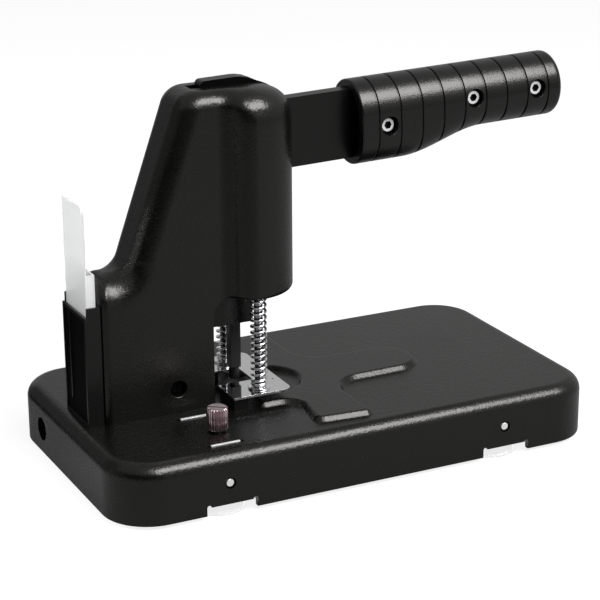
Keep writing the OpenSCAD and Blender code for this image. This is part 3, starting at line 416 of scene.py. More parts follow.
PAINT = black_finish(
    "grained_black_paint", (0.0012, 0.0012, 0.0011), (0.0022, 0.0021, 0.0019),
    grain=1.25, depth=0.22, rough=0.28, level=0.42)
LEVER_BLACK = black_finish(
    "smooth_black_steel", grey(0.001), grey(0.002), grain=0.6, depth=0.012, rough=0.3, level=0.34)
GRIP_BLACK = black_finish(
    "black_grip_plastic", (0.0018, 0.0017, 0.0017), (0.003, 0.0029, 0.0029),
    grain=0.7, depth=0.12, rough=0.27, level=0.42)
HOLDER_BLACK = black_finish(
    "black_holder_plastic", grey(0.001), grey(0.002), grain=0.5, depth=0.01, rough=0.3, level=0.38)
# Blackened steel, which is also a painted shade inside the sockets of the grip's screws.
DARK_STEEL_AND_SHADE = black_finish(
    "blackened_steel_and_painted_shade", grey(0.008), (0.016, 0.016, 0.017), grain=0.4, depth=0.012, rough=0.34, level=0.3)
# A dull black with almost no gloss for the housing's screws. On the screw recesses' walls, the hump's sides
# and the holder's sunk panel it is a painted shade.
DULL_BLACK_AND_SHADE = black_finish(
    "dull_black_screw_and_painted_shade", grey(0.001), grey(0.002), grain=0.4, depth=0.012, rough=0.6, level=0.03)
print("black finishes ready")

# %% [markdown]
# The metals differ in how bright they are and how sharp they mirror. Each one gets faint smears in its
# gloss, which is what tells real chrome or steel from a computer's mirror.

# %% Metal finishes
STREAK_SIZE = 3.5


def metal_finish(name, dull, bright, rough, smear, grain=0.5, depth=0.0, metal=1.0):
    """A metal with smears in its gloss and, where a depth is given, a fine grain."""
    material, start, shader, place = new_finish(name)
    streak = noise(start, place, STREAK_SIZE, 3.0)
    fine = noise(start, place, grain, 2.0)
    feed(
        start,
        shader,
        Base_Color=mixed(start, streak, dull, bright),
        Roughness=rough + (streak - 0.5) * smear + (fine - 0.5) * smear * 0.5,
        Metallic=metal,
    )
    if depth:
        feed(start, shader, Normal=bumped(start, fine, depth))
    return material


CHROME = metal_finish("polished_chrome", (0.78, 0.78, 0.79), (0.9, 0.9, 0.91), rough=0.07, smear=0.06)
BRIGHT_STEEL = metal_finish(
    "bright_steel", grey(0.84), grey(0.95), rough=0.3, smear=0.16, grain=0.4, depth=0.01, metal=0.6)
ZINC_STEEL = metal_finish(
    "zinc_plated_steel", (0.42, 0.42, 0.44), (0.6, 0.6, 0.62), rough=0.34, smear=0.2, grain=0.8, depth=0.01)
# Ground steel for the guide posts, darker than bare steel: the dark tone is partly a painted shade inside the
# springs.
GROUND_STEEL_AND_SHADE = metal_finish("ground_steel_with_painted_shade", (0.2, 0.2, 0.21), (0.34, 0.34, 0.35), rough=0.1, smear=0.08)
BRONZE = metal_finish(
    "bronze", (0.48, 0.33, 0.17), (0.66, 0.47, 0.26), rough=0.3, smear=0.15, grain=0.5, depth=0.01)
ROSY_NICKEL = metal_finish(
    "rosy_nickel", (0.52, 0.38, 0.40), (0.74, 0.58, 0.60), rough=0.16, smear=0.14, grain=0.6, depth=0.008)
# A rougher nickel for the thumbscrew's top. Its lighter tone is a painted highlight.
TOP_NICKEL_PAINTED_HIGHLIGHT = metal_finish(
    "rough_nickel_painted_highlight", (0.7, 0.58, 0.6), (0.9, 0.82, 0.83), rough=0.45, smear=0.3, grain=0.7, depth=0.02)
print("metal finishes ready")

# %% [markdown]
# The storage box is milky moulded plastic that hides most of what is behind it, and the suction cups are
# soft clear rubber. Both let light through. A little noise in their gloss keeps them from looking like
# perfect glass.

# %% Clear finishes
CLOUD_SIZE = 9.0
RIPPLE_SIZE = 2.2
RIPPLE_DEPTH = 0.05


def clear_finish(name, tint, deep, rough, share, index):
    """A plastic that lets a share of the light through, with its index of refraction."""
    material, start, shader, place = new_finish(name)
    cloud = noise(start, place, CLOUD_SIZE, 2.0)
    ripple = noise(start, place, RIPPLE_SIZE, 2.0)
    feed(
        start,
        shader,
        Base_Color=mixed(start, cloud, tint, deep),
        Roughness=rough + (ripple - 0.5) * 0.1,
        Normal=bumped(start, ripple, RIPPLE_DEPTH, 0.4),
        Transmission_Weight=share,
        IOR=index,
    )
    return material


CLEAR_PLASTIC = clear_finish(
    "clear_box_plastic", (0.965, 0.96, 0.965), (0.93, 0.94, 0.94), rough=0.1, share=0.58, index=1.16)
CLEAR_RUBBER = clear_finish(
    "clear_cup_rubber", (0.98, 0.975, 0.98), (0.95, 0.95, 0.955), rough=0.1, share=0.98, index=1.06)
print("clear finishes ready")

# %% [markdown]
# The base is one moulding: a flat top, a rounded top edge and a skirt that is open below. A single loft
# runs from the ceiling inside, down the inner wall, round the lip and up the outside, so the shell is
# closed and has its real thickness. Notches, pin holes, the port and the gauge's slots are then cut out of
# it.

# %% The base's shell
CORNER_R = 28.0
EDGE_R = 8.4
SKIRT_Z = 2.4
SKIRT_T = 3.5
DECK_T = 4.0
CEILING_Z = DECK_Z - DECK_T


def rounded_plan(inset, height, count=14):
    """Ring of the base's plan, drawn in by an inset."""
    half_l = BASE_L / 2 - inset
    half_w = BASE_W / 2 - inset
    r = max(CORNER_R - inset, 1.0)
    ring = []
    for sx, sy, first in ((1, 1, 0), (-1, 1, 90), (-1, -1, 180), (1, -1, 270)):
        ring += arc((sx * (half_l - r), sy * (half_w - r)), r, first, first + 90, count)
    return [(x, y, height) for x, y in ring]


def slot_outline(x, y, length, width, count=12):
    """A slot with round ends along X."""
    reach = (length - width) / 2
    return arc((x + reach, y), width / 2, -90, 90, count) + arc((x - reach, y), width / 2, 90, 270, count)


profile = [(SKIRT_T + 3, CEILING_Z), (SKIRT_T + 0.8, CEILING_Z - 0.8), (SKIRT_T, CEILING_Z - 3)]
profile += [(SKIRT_T, SKIRT_Z + 0.5), (SKIRT_T - 0.5, SKIRT_Z), (0.6, SKIRT_Z), (0.18, SKIRT_Z + 0.18)]
profile += [(0.0, SKIRT_Z + 0.6), (0.0, DECK_Z - EDGE_R)]
for a in np.radians(np.arange(6, 91, 6)):
    profile.append((EDGE_R * (1 - math.cos(a)), DECK_Z - EDGE_R * (1 - math.sin(a))))
base = mesh_object("base_body", *loft([rounded_plan(inset, z) for inset, z in profile]))
print("base shell lofted through", len(profile), "rings")

# %% Openings in the base
FOOT_X = 87.0
FOOT_Y = 68.5
CUP_R = 15.0
PIN_Z = 19.6
PIN_HOLE_R = 2.25
PIN_RECESS_R = 3.3
PIN_RECESS_DEPTH = 1.8
NOTCH_X0 = 0.9
NOTCH_X1 = 31.4
NOTCH_H = 5.0
NOTCH_REACH = 3.5
RELIEF_R = 1.4
PORT_AT = (38.5, 17.5)
PORT_R = 7.0
PUNCH_X = -45.5
DIE_SEAT_R = 7.05
KEY_X = -83.4
KEY_ROWS = (-29.2, -71.6)
KEY_SLOT = (22.3, 2.3)
KNOB_X = -80.0
KNOB_Y = -53.0
STUD_SLOT = (8.7, 5.7)
BOLT_COLUMNS = (-116.0, -80.0)
BOLT_Y = 12.525
BOLT_HOLE_R = 2.55
PLATE_SCREW_X = -52.2
PLATE_SCREW_Y = 20.0
SMALL_HOLE_R = 1.55
DECK_CUT = (CEILING_Z - 1, DECK_Z + 1)

cutters = []
for sx in (-1, 1):
    cutters.append(rod("pin_hole", "y", (sx * FOOT_X, PIN_Z), PIN_HOLE_R, -BASE_W, BASE_W))
    for sy in (-1, 1):
        x = sx * FOOT_X - CUP_R
        y = sy * (BASE_W / 2 - SKIRT_T / 2)
        near = y - NOTCH_REACH
        far = y + NOTCH_REACH
        roof = SKIRT_Z + NOTCH_H
        cutters.append(block("notch", (x + NOTCH_X0, near, SKIRT_Z - 1), (x + NOTCH_X1, far, roof)))
        for corner in (NOTCH_X0 + RELIEF_R, NOTCH_X1 - RELIEF_R):
            cutters.append(rod("notch_relief", "y", (x + corner, roof), RELIEF_R, near, far, 24))
        edge = sy * BASE_W / 2
        recess = (edge - PIN_RECESS_DEPTH, edge + PIN_RECESS_DEPTH)
        cutters.append(rod("pin_recess", "y", (sx * FOOT_X, PIN_Z), PIN_RECESS_R, *recess))
cutters.append(rod("port", "x", PORT_AT, PORT_R, -BASE_L / 2 - 1, -BASE_L / 2 + SKIRT_T + 1))
cutters.append(rod("die_seat", "z", (PUNCH_X, 0), DIE_SEAT_R, *DECK_CUT))
for y in KEY_ROWS:
    cutters.append(prism("key_slot", slot_outline(KEY_X, y, *KEY_SLOT), "z", *DECK_CUT))
cutters.append(prism("stud_slot", slot_outline(KNOB_X, KNOB_Y, *STUD_SLOT), "z", *DECK_CUT))
for x in BOLT_COLUMNS:
    for y in (-BOLT_Y, BOLT_Y):
        cutters.append(rod("bolt_hole", "z", (x, y), BOLT_HOLE_R, *DECK_CUT, 24))
for y in (-PLATE_SCREW_Y, PLATE_SCREW_Y):
    cutters.append(rod("plate_screw_hole", "z", (PLATE_SCREW_X, y), SMALL_HOLE_R, *DECK_CUT, 24))
carve(base, cutters)
print("base shell cut,", len(base.data.polygons), "faces")

# %% [markdown]
# The paper rest stands a few millimetres above the flat top. Its sides are not upright: they fall off in a
# soft slope that catches the light. The outline is a path with rounded corners, and the wall is lofted from
# copies of that path pushed in or out along its normals. The round pocket beside the punch is turned on a
# lathe and cut out.

# %% The raised paper rest
POCKET_X = -26.0
DIE_ROOM_R = 10.35


def rounded_path(corners, step=7.5):
    """A closed path through corners given as x, y and radius."""
    path = []
    count = len(corners)
    for i in range(count):
        here = np.array(corners[i][:2], float)
        back = np.array(corners[i - 1][:2]) - here
        ahead = np.array(corners[(i + 1) % count][:2]) - here
        back /= np.linalg.norm(back)
        ahead /= np.linalg.norm(ahead)
        half = math.acos(float(np.clip(back @ ahead, -1, 1))) / 2
        reach = corners[i][2] / math.tan(half)
        middle = (back + ahead) / np.linalg.norm(back + ahead)
        centre = here + middle * corners[i][2] / math.sin(half)
        first = here + back * reach - centre
        last = here + ahead * reach - centre
        turn = math.atan2(first[0] * last[1] - first[1] * last[0], float(first @ last))
        pieces = max(int(abs(math.degrees(turn)) / step), 2)
        for k in range(pieces + 1):
            a = turn * k / pieces
            c, s = math.cos(a), math.sin(a)
            path.append(centre + np.array([c * first[0] - s * first[1], s * first[0] + c * first[1]]))
    return np.array(path)


def pushed(path, distance):
    """The path moved outwards along its normals."""
    along = np.roll(path, -1, 0) - np.roll(path, 1, 0)
    along /= np.linalg.norm(along, axis=1)[:, None]
    return path + distance * np.stack([along[:, 1], -along[:, 0]], 1)


front_side = [(-44, -34, 3), (-20, -34, 11.5), (-26, -68, 5)]
front_side += [(8, -71, 3.5), (8, -19, 18.5), (72, -17.5, 16.6)]
rear_side = [(x, -y, r) for x, y, r in reversed(front_side)]
REST_WALL = [(1.9, -0.6), (1.9, 0.0), (1.5, 0.08), (1.1, 0.32), (0.6, 0.8), (-0.4, 1.85), (-0.85, 2.3)]
REST_WALL += [(-1.2, 2.62), (-1.6, 2.85), (-2.1, 2.97), (-2.7, 3.0)]
path = rounded_path(front_side + rear_side)
rings = []
for distance, height in REST_WALL:
    rings.append([(x, y, DECK_Z + height) for x, y in pushed(path, distance)])
rest = mesh_object("paper_rest", *loft(rings))
POCKET = [(0.5, -1.2), (19.4, -1.2), (19.4, 0.02), (19.7, 0.1), (20.2, 0.45), (21.6, 2.2), (22.1, 2.65)]
POCKET += [(22.6, 2.88), (23.4, 3.01), (23.4, 5.0), (0.5, 5.0)]
pocket = mesh_object("pocket", *loft(lathe([(r, DECK_Z + h) for r, h in POCKET], (POCKET_X, 0.0), 96)))
die_room = rod("die_room", "z", (PUNCH_X, 0), DIE_ROOM_R, DECK_Z - 1, REST_Z + 1)
carve(rest, [pocket, die_room])
smooth(rest)
smooth(base)
join(base, [base, rest])
settle(base, PAINT, "base", "base_shell")

# %% [markdown]
# The column is drawn as rings at many heights. Its back rises from a shoulder through a sweep into a slope,
# and a rounding follows that whole edge, with a radius that changes along it. To get it, the half width at
# any point comes from the distance to the back's outline: near the outline the width falls off along a
# quarter circle. The nose is a set of arcs that join the column by a fillet, and its crown draws back
# towards the top.

# %% The column's rings
COLUMN_HW = 19.0
COLUMN_X = -133.0
SHOULDER_Z = 121.0
SLOPE_X = -114.6
SLOPE_A = math.radians(19.57)
SWEEP_R = 13.0
SLOPE_R = 12.0
BACK_R = 5.0
TOP_R = 18.0
HEAD_Z = 219.0
HEAD_R = 10.0
DOME_R = 17.0
NOSE_X = -41.5
NOSE_R = 31.0
LOBE_R = 13.0
NECK_R = 9.0
CROWN_H = 22.0
CROWN_W = 18.0
THROAT_X = -66.0
THROAT_Z = 99.5
THROAT_R = 9.0
RIM_R = 3.0
RIM_FOOT_Z = 99.0
LINE_END_Z = 260.0


def slope_at(z):
    """Where the slope of the back stands at a height."""
    return SLOPE_X + (z - SHOULDER_Z) * math.tan(SLOPE_A)


SWEEP_Z = SHOULDER_Z + SWEEP_R
SWEEP_X = slope_at(SWEEP_Z) - SWEEP_R / math.cos(SLOPE_A)
SHOULDER_R = SWEEP_X - COLUMN_X

back = [(COLUMN_X, z) for z in (DECK_Z, 60.0, 90.0, RIM_FOOT_Z, 105.0)]
rounding = [BACK_R] * len(back)
for share in np.linspace(0, 1, 19):
    a = math.radians(90 * share)
    back.append((COLUMN_X + SHOULDER_R * (1 - math.cos(a)), SHOULDER_Z - SLOPE_R * (1 - math.sin(a))))
    rounding.append(BACK_R + (TOP_R - BACK_R) * share)
for share in np.linspace(0, 1, 18)[1:]:
    a = -math.pi / 2 + (math.pi / 2 - SLOPE_A) * share
    back.append((SWEEP_X + SWEEP_R * math.cos(a), SWEEP_Z + SWEEP_R * math.sin(a)))
    rounding.append(TOP_R + (SLOPE_R - TOP_R) * share)
for z in np.linspace(134, HEAD_Z - HEAD_R, 22):
    back.append((slope_at(z), float(z)))
    rounding.append(SLOPE_R)
back_line = np.array([(COLUMN_X, 0.0)] + back + [(slope_at(LINE_END_Z), LINE_END_Z)])
rounding = np.array(rounding + [SLOPE_R])
print("back drawn with", len(back), "points")

# %% Widths of the housing at a height


def side_width(x, z):
    """Half width at points of one height. Each stretch of the back rounds the side by its own radius."""
    points = np.stack([x, np.full_like(x, z)], 1)[:, None, :]
    a = back_line[None, :-1]
    d = back_line[None, 1:] - a
    t = np.clip(((points - a) * d).sum(2) / (d * d).sum(2), 0, 1)
    depth = np.linalg.norm(points - a - t[..., None] * d, axis=2)
    fall = np.maximum(rounding - depth, 0)
    return (COLUMN_HW - rounding + np.sqrt(np.maximum(rounding ** 2 - fall ** 2, 0))).min(1)


def crown_in(z):
    """How far the nose's front draws back towards the top."""
    if z < HEAD_Z - CROWN_H:
        return 0.0
    return CROWN_W * (1 - math.sqrt(max(1 - ((z - HEAD_Z + CROWN_H) / CROWN_H) ** 2, 0)))


def soft_step(value, low, high):
    """Rises softly from 0 at low to 1 at high."""
    t = float(np.clip((value - low) / (high - low), 0, 1))
    return t * t * (3 - 2 * t)


def dome_in(z):
    """How far the nose's sides draw in towards the top, in a broader rounding than the column's."""
    share = max(z - HEAD_Z + DOME_R, 0) / DOME_R
    return DOME_R * (1 - math.sqrt(max(1 - share ** 2, 0)))


def nose_half(inset, crown):
    """Neck, lobe and nose from the column's side to the front, and where the neck starts."""
    hw = COLUMN_HW - inset
    rn = NECK_R + inset
    rl = LOBE_R - inset
    yl = NOSE_R - LOBE_R
    rt = NOSE_R - inset
    neck_x = NOSE_X - math.sqrt((rn + rl) ** 2 - (hw + rn - yl) ** 2)
    touch = math.degrees(math.atan2(hw + rn - yl, NOSE_X - neck_x))
    half = arc((neck_x, -hw - rn), rn, 90, touch, 10)
    half += arc((NOSE_X, -yl), rl, 180 + touch, 270, 12)[1:]
    for a in np.radians(np.arange(4.5, 90.1, 4.5)):
        half.append((NOSE_X + (rt - crown) * math.sin(a), -rt * math.cos(a)))
    return half, neck_x


SIDE_POINTS = 46
SIDE_CROWDING = 1.8
BACK_POINTS = 6
NECK_GAP = 0.6
DOME_Y = 8
RIM_X = -64
RIM_BLEND = 8


def housing_ring(rear, z, inset=0.0, rim=0.0):
    """One ring of the housing. The nose alone is drawn in by rim."""
    hw = COLUMN_HW - inset
    half, neck_x = nose_half(inset, crown_in(z))
    extra = max(dome_in(z) - inset, 0)
    domed = []
    for a, b in half:
        drawn = extra * soft_step(a, neck_x, NOSE_X) * soft_step(-b, DOME_Y, NOSE_R - inset)
        domed.append((a, b + drawn))
    half = domed
    run = (neck_x - NECK_GAP - rear) * np.linspace(0, 1, SIDE_POINTS) ** SIDE_CROWDING
    x = rear + run
    if inset == 0:
        y = -side_width(x, z)
    else:
        radius = max(SLOPE_R - inset, 2.0)
        fall = np.clip(radius - run * math.cos(SLOPE_A), 0, radius)
        y = -(hw - radius + np.sqrt(radius ** 2 - fall ** 2))
    side = [(rear, y[0] * k / BACK_POINTS) for k in range(BACK_POINTS)] + list(zip(x, y))
    if rim:
        drawn, _ = nose_half(rim, 0.0)
        blend = [float(np.clip((p[0] - RIM_X) / RIM_BLEND, 0, 1)) for p in half]
        half = [(a[0] + (b[0] - a[0]) * w, a[1] + (b[1] - a[1]) * w) for a, b, w in zip(half, drawn, blend)]
    half = side + half
    ring = half + [(px, -py) for px, py in half[-2:0:-1]]
    return [(px, py, z) for px, py in ring]


print("housing sides drawn with", SIDE_POINTS, "points")

# %% The loft of the housing
TOP_LEAN = 0.25
rings = []
for rear, z in back:
    rim = RIM_R if z <= THROAT_Z else 0.0
    rings.append(housing_ring(rear, z, rim=rim))
    if z == RIM_FOOT_Z:
        for a in np.radians((0, 18, 36, 54, 72, 90)):
            rise = RIM_R * math.sin(a)
            drawn = RIM_R * (1 - math.sqrt(max(1 - (1 - math.sin(a)) ** 2, 0)))
            rings.append(housing_ring(COLUMN_X, THROAT_Z + 0.01 + rise, rim=max(drawn, 0.001)))
for a in np.radians(np.arange(7.5, 90.1, 7.5)):
    inset = HEAD_R * (1 - math.cos(a))
    rear = slope_at(HEAD_Z - HEAD_R) + inset + HEAD_R * math.sin(a) * TOP_LEAN
    rings.append(housing_ring(rear, HEAD_Z - HEAD_R * (1 - math.sin(a)), inset))
housing = mesh_object("column_and_nose", *loft(rings))
print("housing rings:", len(rings))

# %% [markdown]
# The inside of the housing is hollow, for the frame, the lever and the ram. The throat below the nose, the
# lever's slot and the screws' recesses are cut as well. Cutting from simple solids keeps each wall at its
# real thickness.

# %% The hollows of the housing
WALL_T = 3.0
ROOM_LOW = 109
ROOM_TOP = 210
ROOM_FRONT = -69
PIN_ROOM_IN = 4.5
SLOT_HW = 4.65
SLOT_X = -70.5
throat_x1 = NOSE_X + NOSE_R + 5
throat = [(THROAT_X, DECK_Z - 1)]
throat += arc((THROAT_X + THROAT_R, THROAT_Z - THROAT_R), THROAT_R, 180, 90, 14)
throat += [(throat_x1, THROAT_Z), (throat_x1, DECK_Z - 1)]
neck_wall = WALL_T / math.cos(SLOPE_A)
neck_x0 = slope_at(SWEEP_Z) + neck_wall
neck_front = [(NOSE_X, ROOM_TOP), (NOSE_X, THROAT_Z + 12)]
neck_front += [(ROOM_FRONT, THROAT_Z + 12), (ROOM_FRONT, ROOM_LOW)]
neck_room = [(COLUMN_X + 11, ROOM_LOW), (neck_x0 - 4, SHOULDER_Z - 4), (neck_x0, SWEEP_Z)]
neck_room += [(slope_at(ROOM_TOP) + neck_wall, ROOM_TOP)] + neck_front
pin_room = [(COLUMN_X + 15, ROOM_LOW), (neck_x0 + 2, SHOULDER_Z - 6), (neck_x0 + PIN_ROOM_IN, SWEEP_Z)]
pin_room += [(slope_at(ROOM_TOP) + neck_wall + PIN_ROOM_IN, ROOM_TOP)] + neck_front
half, _ = nose_half(1.8, crown_in(212.0))
nose_room = [(-64.2, -17.2)] + half
nose_room = nose_room + [(x, -y) for x, y in reversed(nose_room[:-1])]
slot_x1 = NOSE_X + NOSE_R + 1
slot = [(SLOT_X, 208), (NOSE_X, 208), (NOSE_X, 138), (slot_x1, 138)]
slot += [(slot_x1, HEAD_Z + 5), (SLOT_X, HEAD_Z + 5)]
carve(housing, [
    prism("throat", throat, "y", -50, 50),
    block("column_room", (-130, -16, DECK_Z - 1), (ROOM_FRONT, 16, 107)),
    prism("neck_room", neck_room, "y", -9.9, 9.9),
    prism("pin_room", pin_room, "y", -13.15, 13.15),
    prism("nose_room", nose_room, "z", 89.5, 206.5),
])
print("housing hollowed,", len(housing.data.polygons), "faces")

# %% The screws' recesses and the lever's slot
COVER = (-88.2, 51.0)
BOSS_SPANS = ((-18, -11.8), (11.8, 18))
SCREW_BOSS_R = 6.25
COVER_HOLE_R = 2.05
HOLDER_SCREW_Z = (58, 88)
RECESS = [(5.5, -20.0), (5.5, -19.03), (5.1, -18.85), (4.85, -18.5), (4.7, -18.0), (4.7, -16.8), (4.7, -13.8)]
RECESS_EDGE_R = 4.84
carve(housing, [rod("screw_boss", "y", COVER, SCREW_BOSS_R, y0, y1) for y0, y1 in BOSS_SPANS], "UNION")
cutters = []
for side in (-1, 1):
    rings = [[(x, -side * y, z) for x, z in arc(COVER, r, 0, 352.5, 48)] for r, y in RECESS]
    cutters.append(mesh_object("screw_recess", *loft(rings)))
cutters.append(rod("screw_hole", "y", COVER, COVER_HOLE_R, -19.5, 19.5, 24))
cutters.append(prism("lever_slot", slot, "y", -SLOT_HW, SLOT_HW))
for z in HOLDER_SCREW_Z:
    cutters.append(rod("holder_screw_hole", "x", (0, z), SMALL_HOLE_R, COLUMN_X - 1, -129, 24))
carve(housing, cutters)
smooth(housing, sharp=42)
settle(housing, PAINT, "base", "column_housing")


def recess_painted_shade(middle, normal):
    x, y, z = middle * PER_METRE
    out = math.hypot(x - COVER[0] - SHIFT * PER_METRE, z - COVER[1])
    return out < RECESS_EDGE_R and 12 < abs(y) < 18.6


# The walls of the screw recesses get the dull black, a painted shade for the shade that falls inside them.
paint_faces(housing, DULL_BLACK_AND_SHADE, recess_painted_shade)

# %% [markdown]
# The grip is two black half shells clamped round the end of the bar. Its section is a slot shape, tall at
# the column's end and nearly round at the free end, with ring grooves at an even pitch. Rings of half
# sections are lofted for one half, the bar's room and the screws' recesses are cut out, and the other half
# is its mirror image.

# %% The two halves of the grip
GRIP_X0 = 28.8
GRIP_X1 = 163.6
GRIP_W = 37.6
GRIP_H = 49.7
GRIP_TOP = 24.1
GRIP_FLAT = 0.6
GRIP_END_R = 4.0
GRIP_WALL = 4.6
TAPER_X = 60
TAPER_L = 54
BAR_ROOM_HW = 4.05
SCREW_AT = [(46.7, -1.75), (103.5, 6.5), (146.1, 6.5)]
SCREW_HOLE_R = 2.85
SCREW_RECESS_R = 5.6
SCREW_SEAT_Y = 10.5
GROOVES = 9
GROOVE_X = 39.6
GROOVE_PITCH = 14.2
GROOVE = [(-0.85, 0), (-0.6, 0.1), (-0.42, 0.45), (-0.25, 0.8)]
GROOVE += [(-offset, depth) for offset, depth in reversed(GROOVE)]


def grip_half(x, inset):
    """Half section of the grip at a place along it."""
    t = float(np.clip((x - TAPER_X) / TAPER_L, 0, 1))
    lift = (GRIP_H - GRIP_W - GRIP_FLAT) * t * t * (3 - 2 * t)
    r = GRIP_W / 2
    top = GRIP_TOP - r
    low = GRIP_TOP - GRIP_H + r + lift
    half = arc((0, top), r - inset, 90, 180, 22) + arc((0, low), r - inset, 180, 270, 22)
    return [(x, y, PIVOT_Z + z) for y, z in half]


stations = [(GRIP_X0, 0.9), (GRIP_X0 + 0.25, 0.4), (GRIP_X0 + 0.8, 0.05), (GRIP_X0 + 1.3, 0.0)]
for i in range(GROOVES):
    middle = GROOVE_X + i * GROOVE_PITCH
    for offset, depth in GROOVE:
        stations.append((middle + offset, depth))
    for offset in (3, 5, 7, 9, 11):
        if middle + offset < GRIP_X1 - GRIP_END_R - 1:
            stations.append((middle + offset, 0.0))
for x in (31.5, 33.5, 35.5, 37.5):
    stations.append((x, 0.0))
stations.sort()
for a in np.radians(np.arange(0, 91, 11.25)):
    stations.append((GRIP_X1 - GRIP_END_R * (1 - math.sin(a)), GRIP_END_R * (1 - math.cos(a))))
grip_points, grip_faces = loft([grip_half(x, inset) for x, inset in stations])
bar_room = [(8.8, 164.7), (60, 164.7), (91, 179.2), (154.9, 179.2), (154.9, 203.4), (72, 205.8), (8.8, 205.8)]
mouth_r = GRIP_W / 2 - GRIP_WALL
mouth = arc((0, PIVOT_Z + GRIP_TOP - GRIP_W / 2), mouth_r, 0, 180, 25)
mouth += arc((0, PIVOT_Z + GRIP_TOP - GRIP_H + GRIP_W / 2), mouth_r, 180, 360, 25)
for name, side, node in (("grip_front_half", 1, "grip_front"), ("grip_rear_half", -1, "grip_rear")):
    half_grip = mesh_object(name, grip_points * np.array([1, side, 1]), grip_faces, turn=raised)
    cutters = [prism("bar_room", bar_room, "y", -BAR_ROOM_HW, BAR_ROOM_HW, raised)]
    cutters.append(prism("mouth", mouth, "x", GRIP_X0 - 1, GRIP_X0 + 9, raised))
    outer = -side * GRIP_W
    through = sorted((outer, side))
    recess = sorted((outer, -side * SCREW_SEAT_Y))
    for x, z in SCREW_AT:
        cutters.append(rod("screw_hole", "y", (x, PIVOT_Z + z), SCREW_HOLE_R, *through, 32, raised))
        cutters.append(rod("recess", "y", (x, PIVOT_Z + z), SCREW_RECESS_R, *recess, 48, raised))
    carve(half_grip, cutters)
    smooth(half_grip, sharp=48)
    settle(half_grip, GRIP_BLACK, "lever", node)

# %% [markdown]
# The lever is one thick bar. Behind the grip it runs straight, and in the head's slot it rises to a hump
# with a round back corner and a long soft fall in front. It is drawn as one outline, pushed to its
# thickness, and its edges are rounded, which draws the thin bright line along its top. The bar is then
# split at the hump's foot, so that the hump's sides can have a duller black: a painted shade from the slot.

# %% The lever's bar
BAR_T = 8.0
BAR_LOW = 165.0
BAR_TOP = 205.5
BAR_END_X = 154.6
HUMP_Z = 222.0
HUMP_CORNER_R = 2.6
HUMP_FOOT_M = 0.212
HUMP_END_M = SHIFT - 0.01
BOSS_R = 10.5
BUSH_HOLE_R = 6.05
LINK_X = -44.53
LINK_SLOT = (11.54, 9.0)
bar = arc((PIVOT_X, PIVOT_Z), BOSS_R, 132, 270, 18)
bar += [(PIVOT_X + 14, BAR_LOW), (60.0, BAR_LOW), (91.0, 179.5), (BAR_END_X, 179.5), (BAR_END_X, 203.1)]
bar += [(72.0, BAR_TOP), (-12.0, BAR_TOP), (-15.5, 208.2), (-19.5, 211.6), (-23.3, 214.4), (-27.2, 216.9)]
bar += [(-31.3, 219.1), (-35.5, 220.9), (-39.5, 221.8), (-43.0, HUMP_Z)]
bar += arc((-61.0, HUMP_Z - HUMP_CORNER_R), HUMP_CORNER_R, 90, 180, 8) + [(-63.6, BAR_TOP)]
lever_bar = prism("lever_bar", bar, "y", -BAR_T / 2, BAR_T / 2, raised)
cutters = [rod("bush_hole", "y", (PIVOT_X, PIVOT_Z), BUSH_HOLE_R, -BAR_T, BAR_T, 48, raised)]
cutters.append(prism("link_slot", slot_outline(LINK_X, PIVOT_Z, *LINK_SLOT), "y", -BAR_T, BAR_T, raised))
for x, z in SCREW_AT:
    cutters.append(rod("screw_hole", "y", (x, PIVOT_Z + z), SCREW_HOLE_R, -BAR_T, BAR_T, 32, raised))
carve(lever_bar, cutters)
smooth(lever_bar, sharp=32, bevel=1.1, segments=4)
bm = bmesh.new()
bm.from_mesh(lever_bar.data)
everything = bm.verts[:] + bm.edges[:] + bm.faces[:]
bmesh.ops.bisect_plane(bm, geom=everything, plane_co=(0, 0, HUMP_FOOT_M), plane_no=(0, 0, 1))
bm.to_mesh(lever_bar.data)
bm.free()
settle(lever_bar, LEVER_BLACK, "lever", "lever_arm")


def hump_painted_shade(middle, normal):
    return middle.z > HUMP_FOOT_M and middle.x < HUMP_END_M and abs(normal.y) > 0.9


# The hump's sides get the dull black, a painted shade for the slot's shade.
paint_faces(lever_bar, DULL_BLACK_AND_SHADE, hump_painted_shade)

# %% [markdown]
# The holder at the back is a thin black pocket. Its rear face is a sunk black panel in a narrow rim, with
# one slim rib down it, and the panel gets the dull black as a painted shade for the dark inside the window.
# The pocket itself is a merged copy of its CAD node.

# %% The holder of the storage box
HOLDER_X = -142.2
WINDOW_Y = 15.9
WINDOW_Z = (38.8, 99.0)
PANEL_X = (HOLDER_X + 0.75, HOLDER_X + 1.2)
PANEL_Y = 16.3
PANEL_Z = (38.4, 99.4)
RIB_Y = (6.6, 8.5)
RIB_Z = (47.0, 100.0)
window = block("window", (HOLDER_X - 1, -WINDOW_Y, WINDOW_Z[0]), (HOLDER_X + 1.3, WINDOW_Y, WINDOW_Z[1]))
panel = block("panel", (PANEL_X[0], -PANEL_Y, PANEL_Z[0]), (PANEL_X[1], PANEL_Y, PANEL_Z[1]))
rib = block("rib", (HOLDER_X + 0.05, RIB_Y[0], RIB_Z[0]), (HOLDER_X + 1.1, RIB_Y[1], RIB_Z[1]))
holder = merged_copy("box_holder", "box_pocket")
carve(holder, [window])
carve(holder, [panel, rib], "UNION")
smooth(holder, sharp=32, bevel=0.35)
settle(holder, HOLDER_BLACK, "base", "box_holder")


def panel_painted_shade(middle, normal):
    x = (middle.x - SHIFT) * PER_METRE
    return normal.x < -0.9 and HOLDER_X + 0.5 < x < HOLDER_X + 1.0


# The sunk panel's face gets the dull black, a painted shade.
paint_faces(holder, DULL_BLACK_AND_SHADE, panel_painted_shade)

# %% [markdown]
# The chrome plate over the paper gap lies on two black blocks and covers them up to the column. A gap in
# its middle lets the punch through, and the two guide posts stand in it.

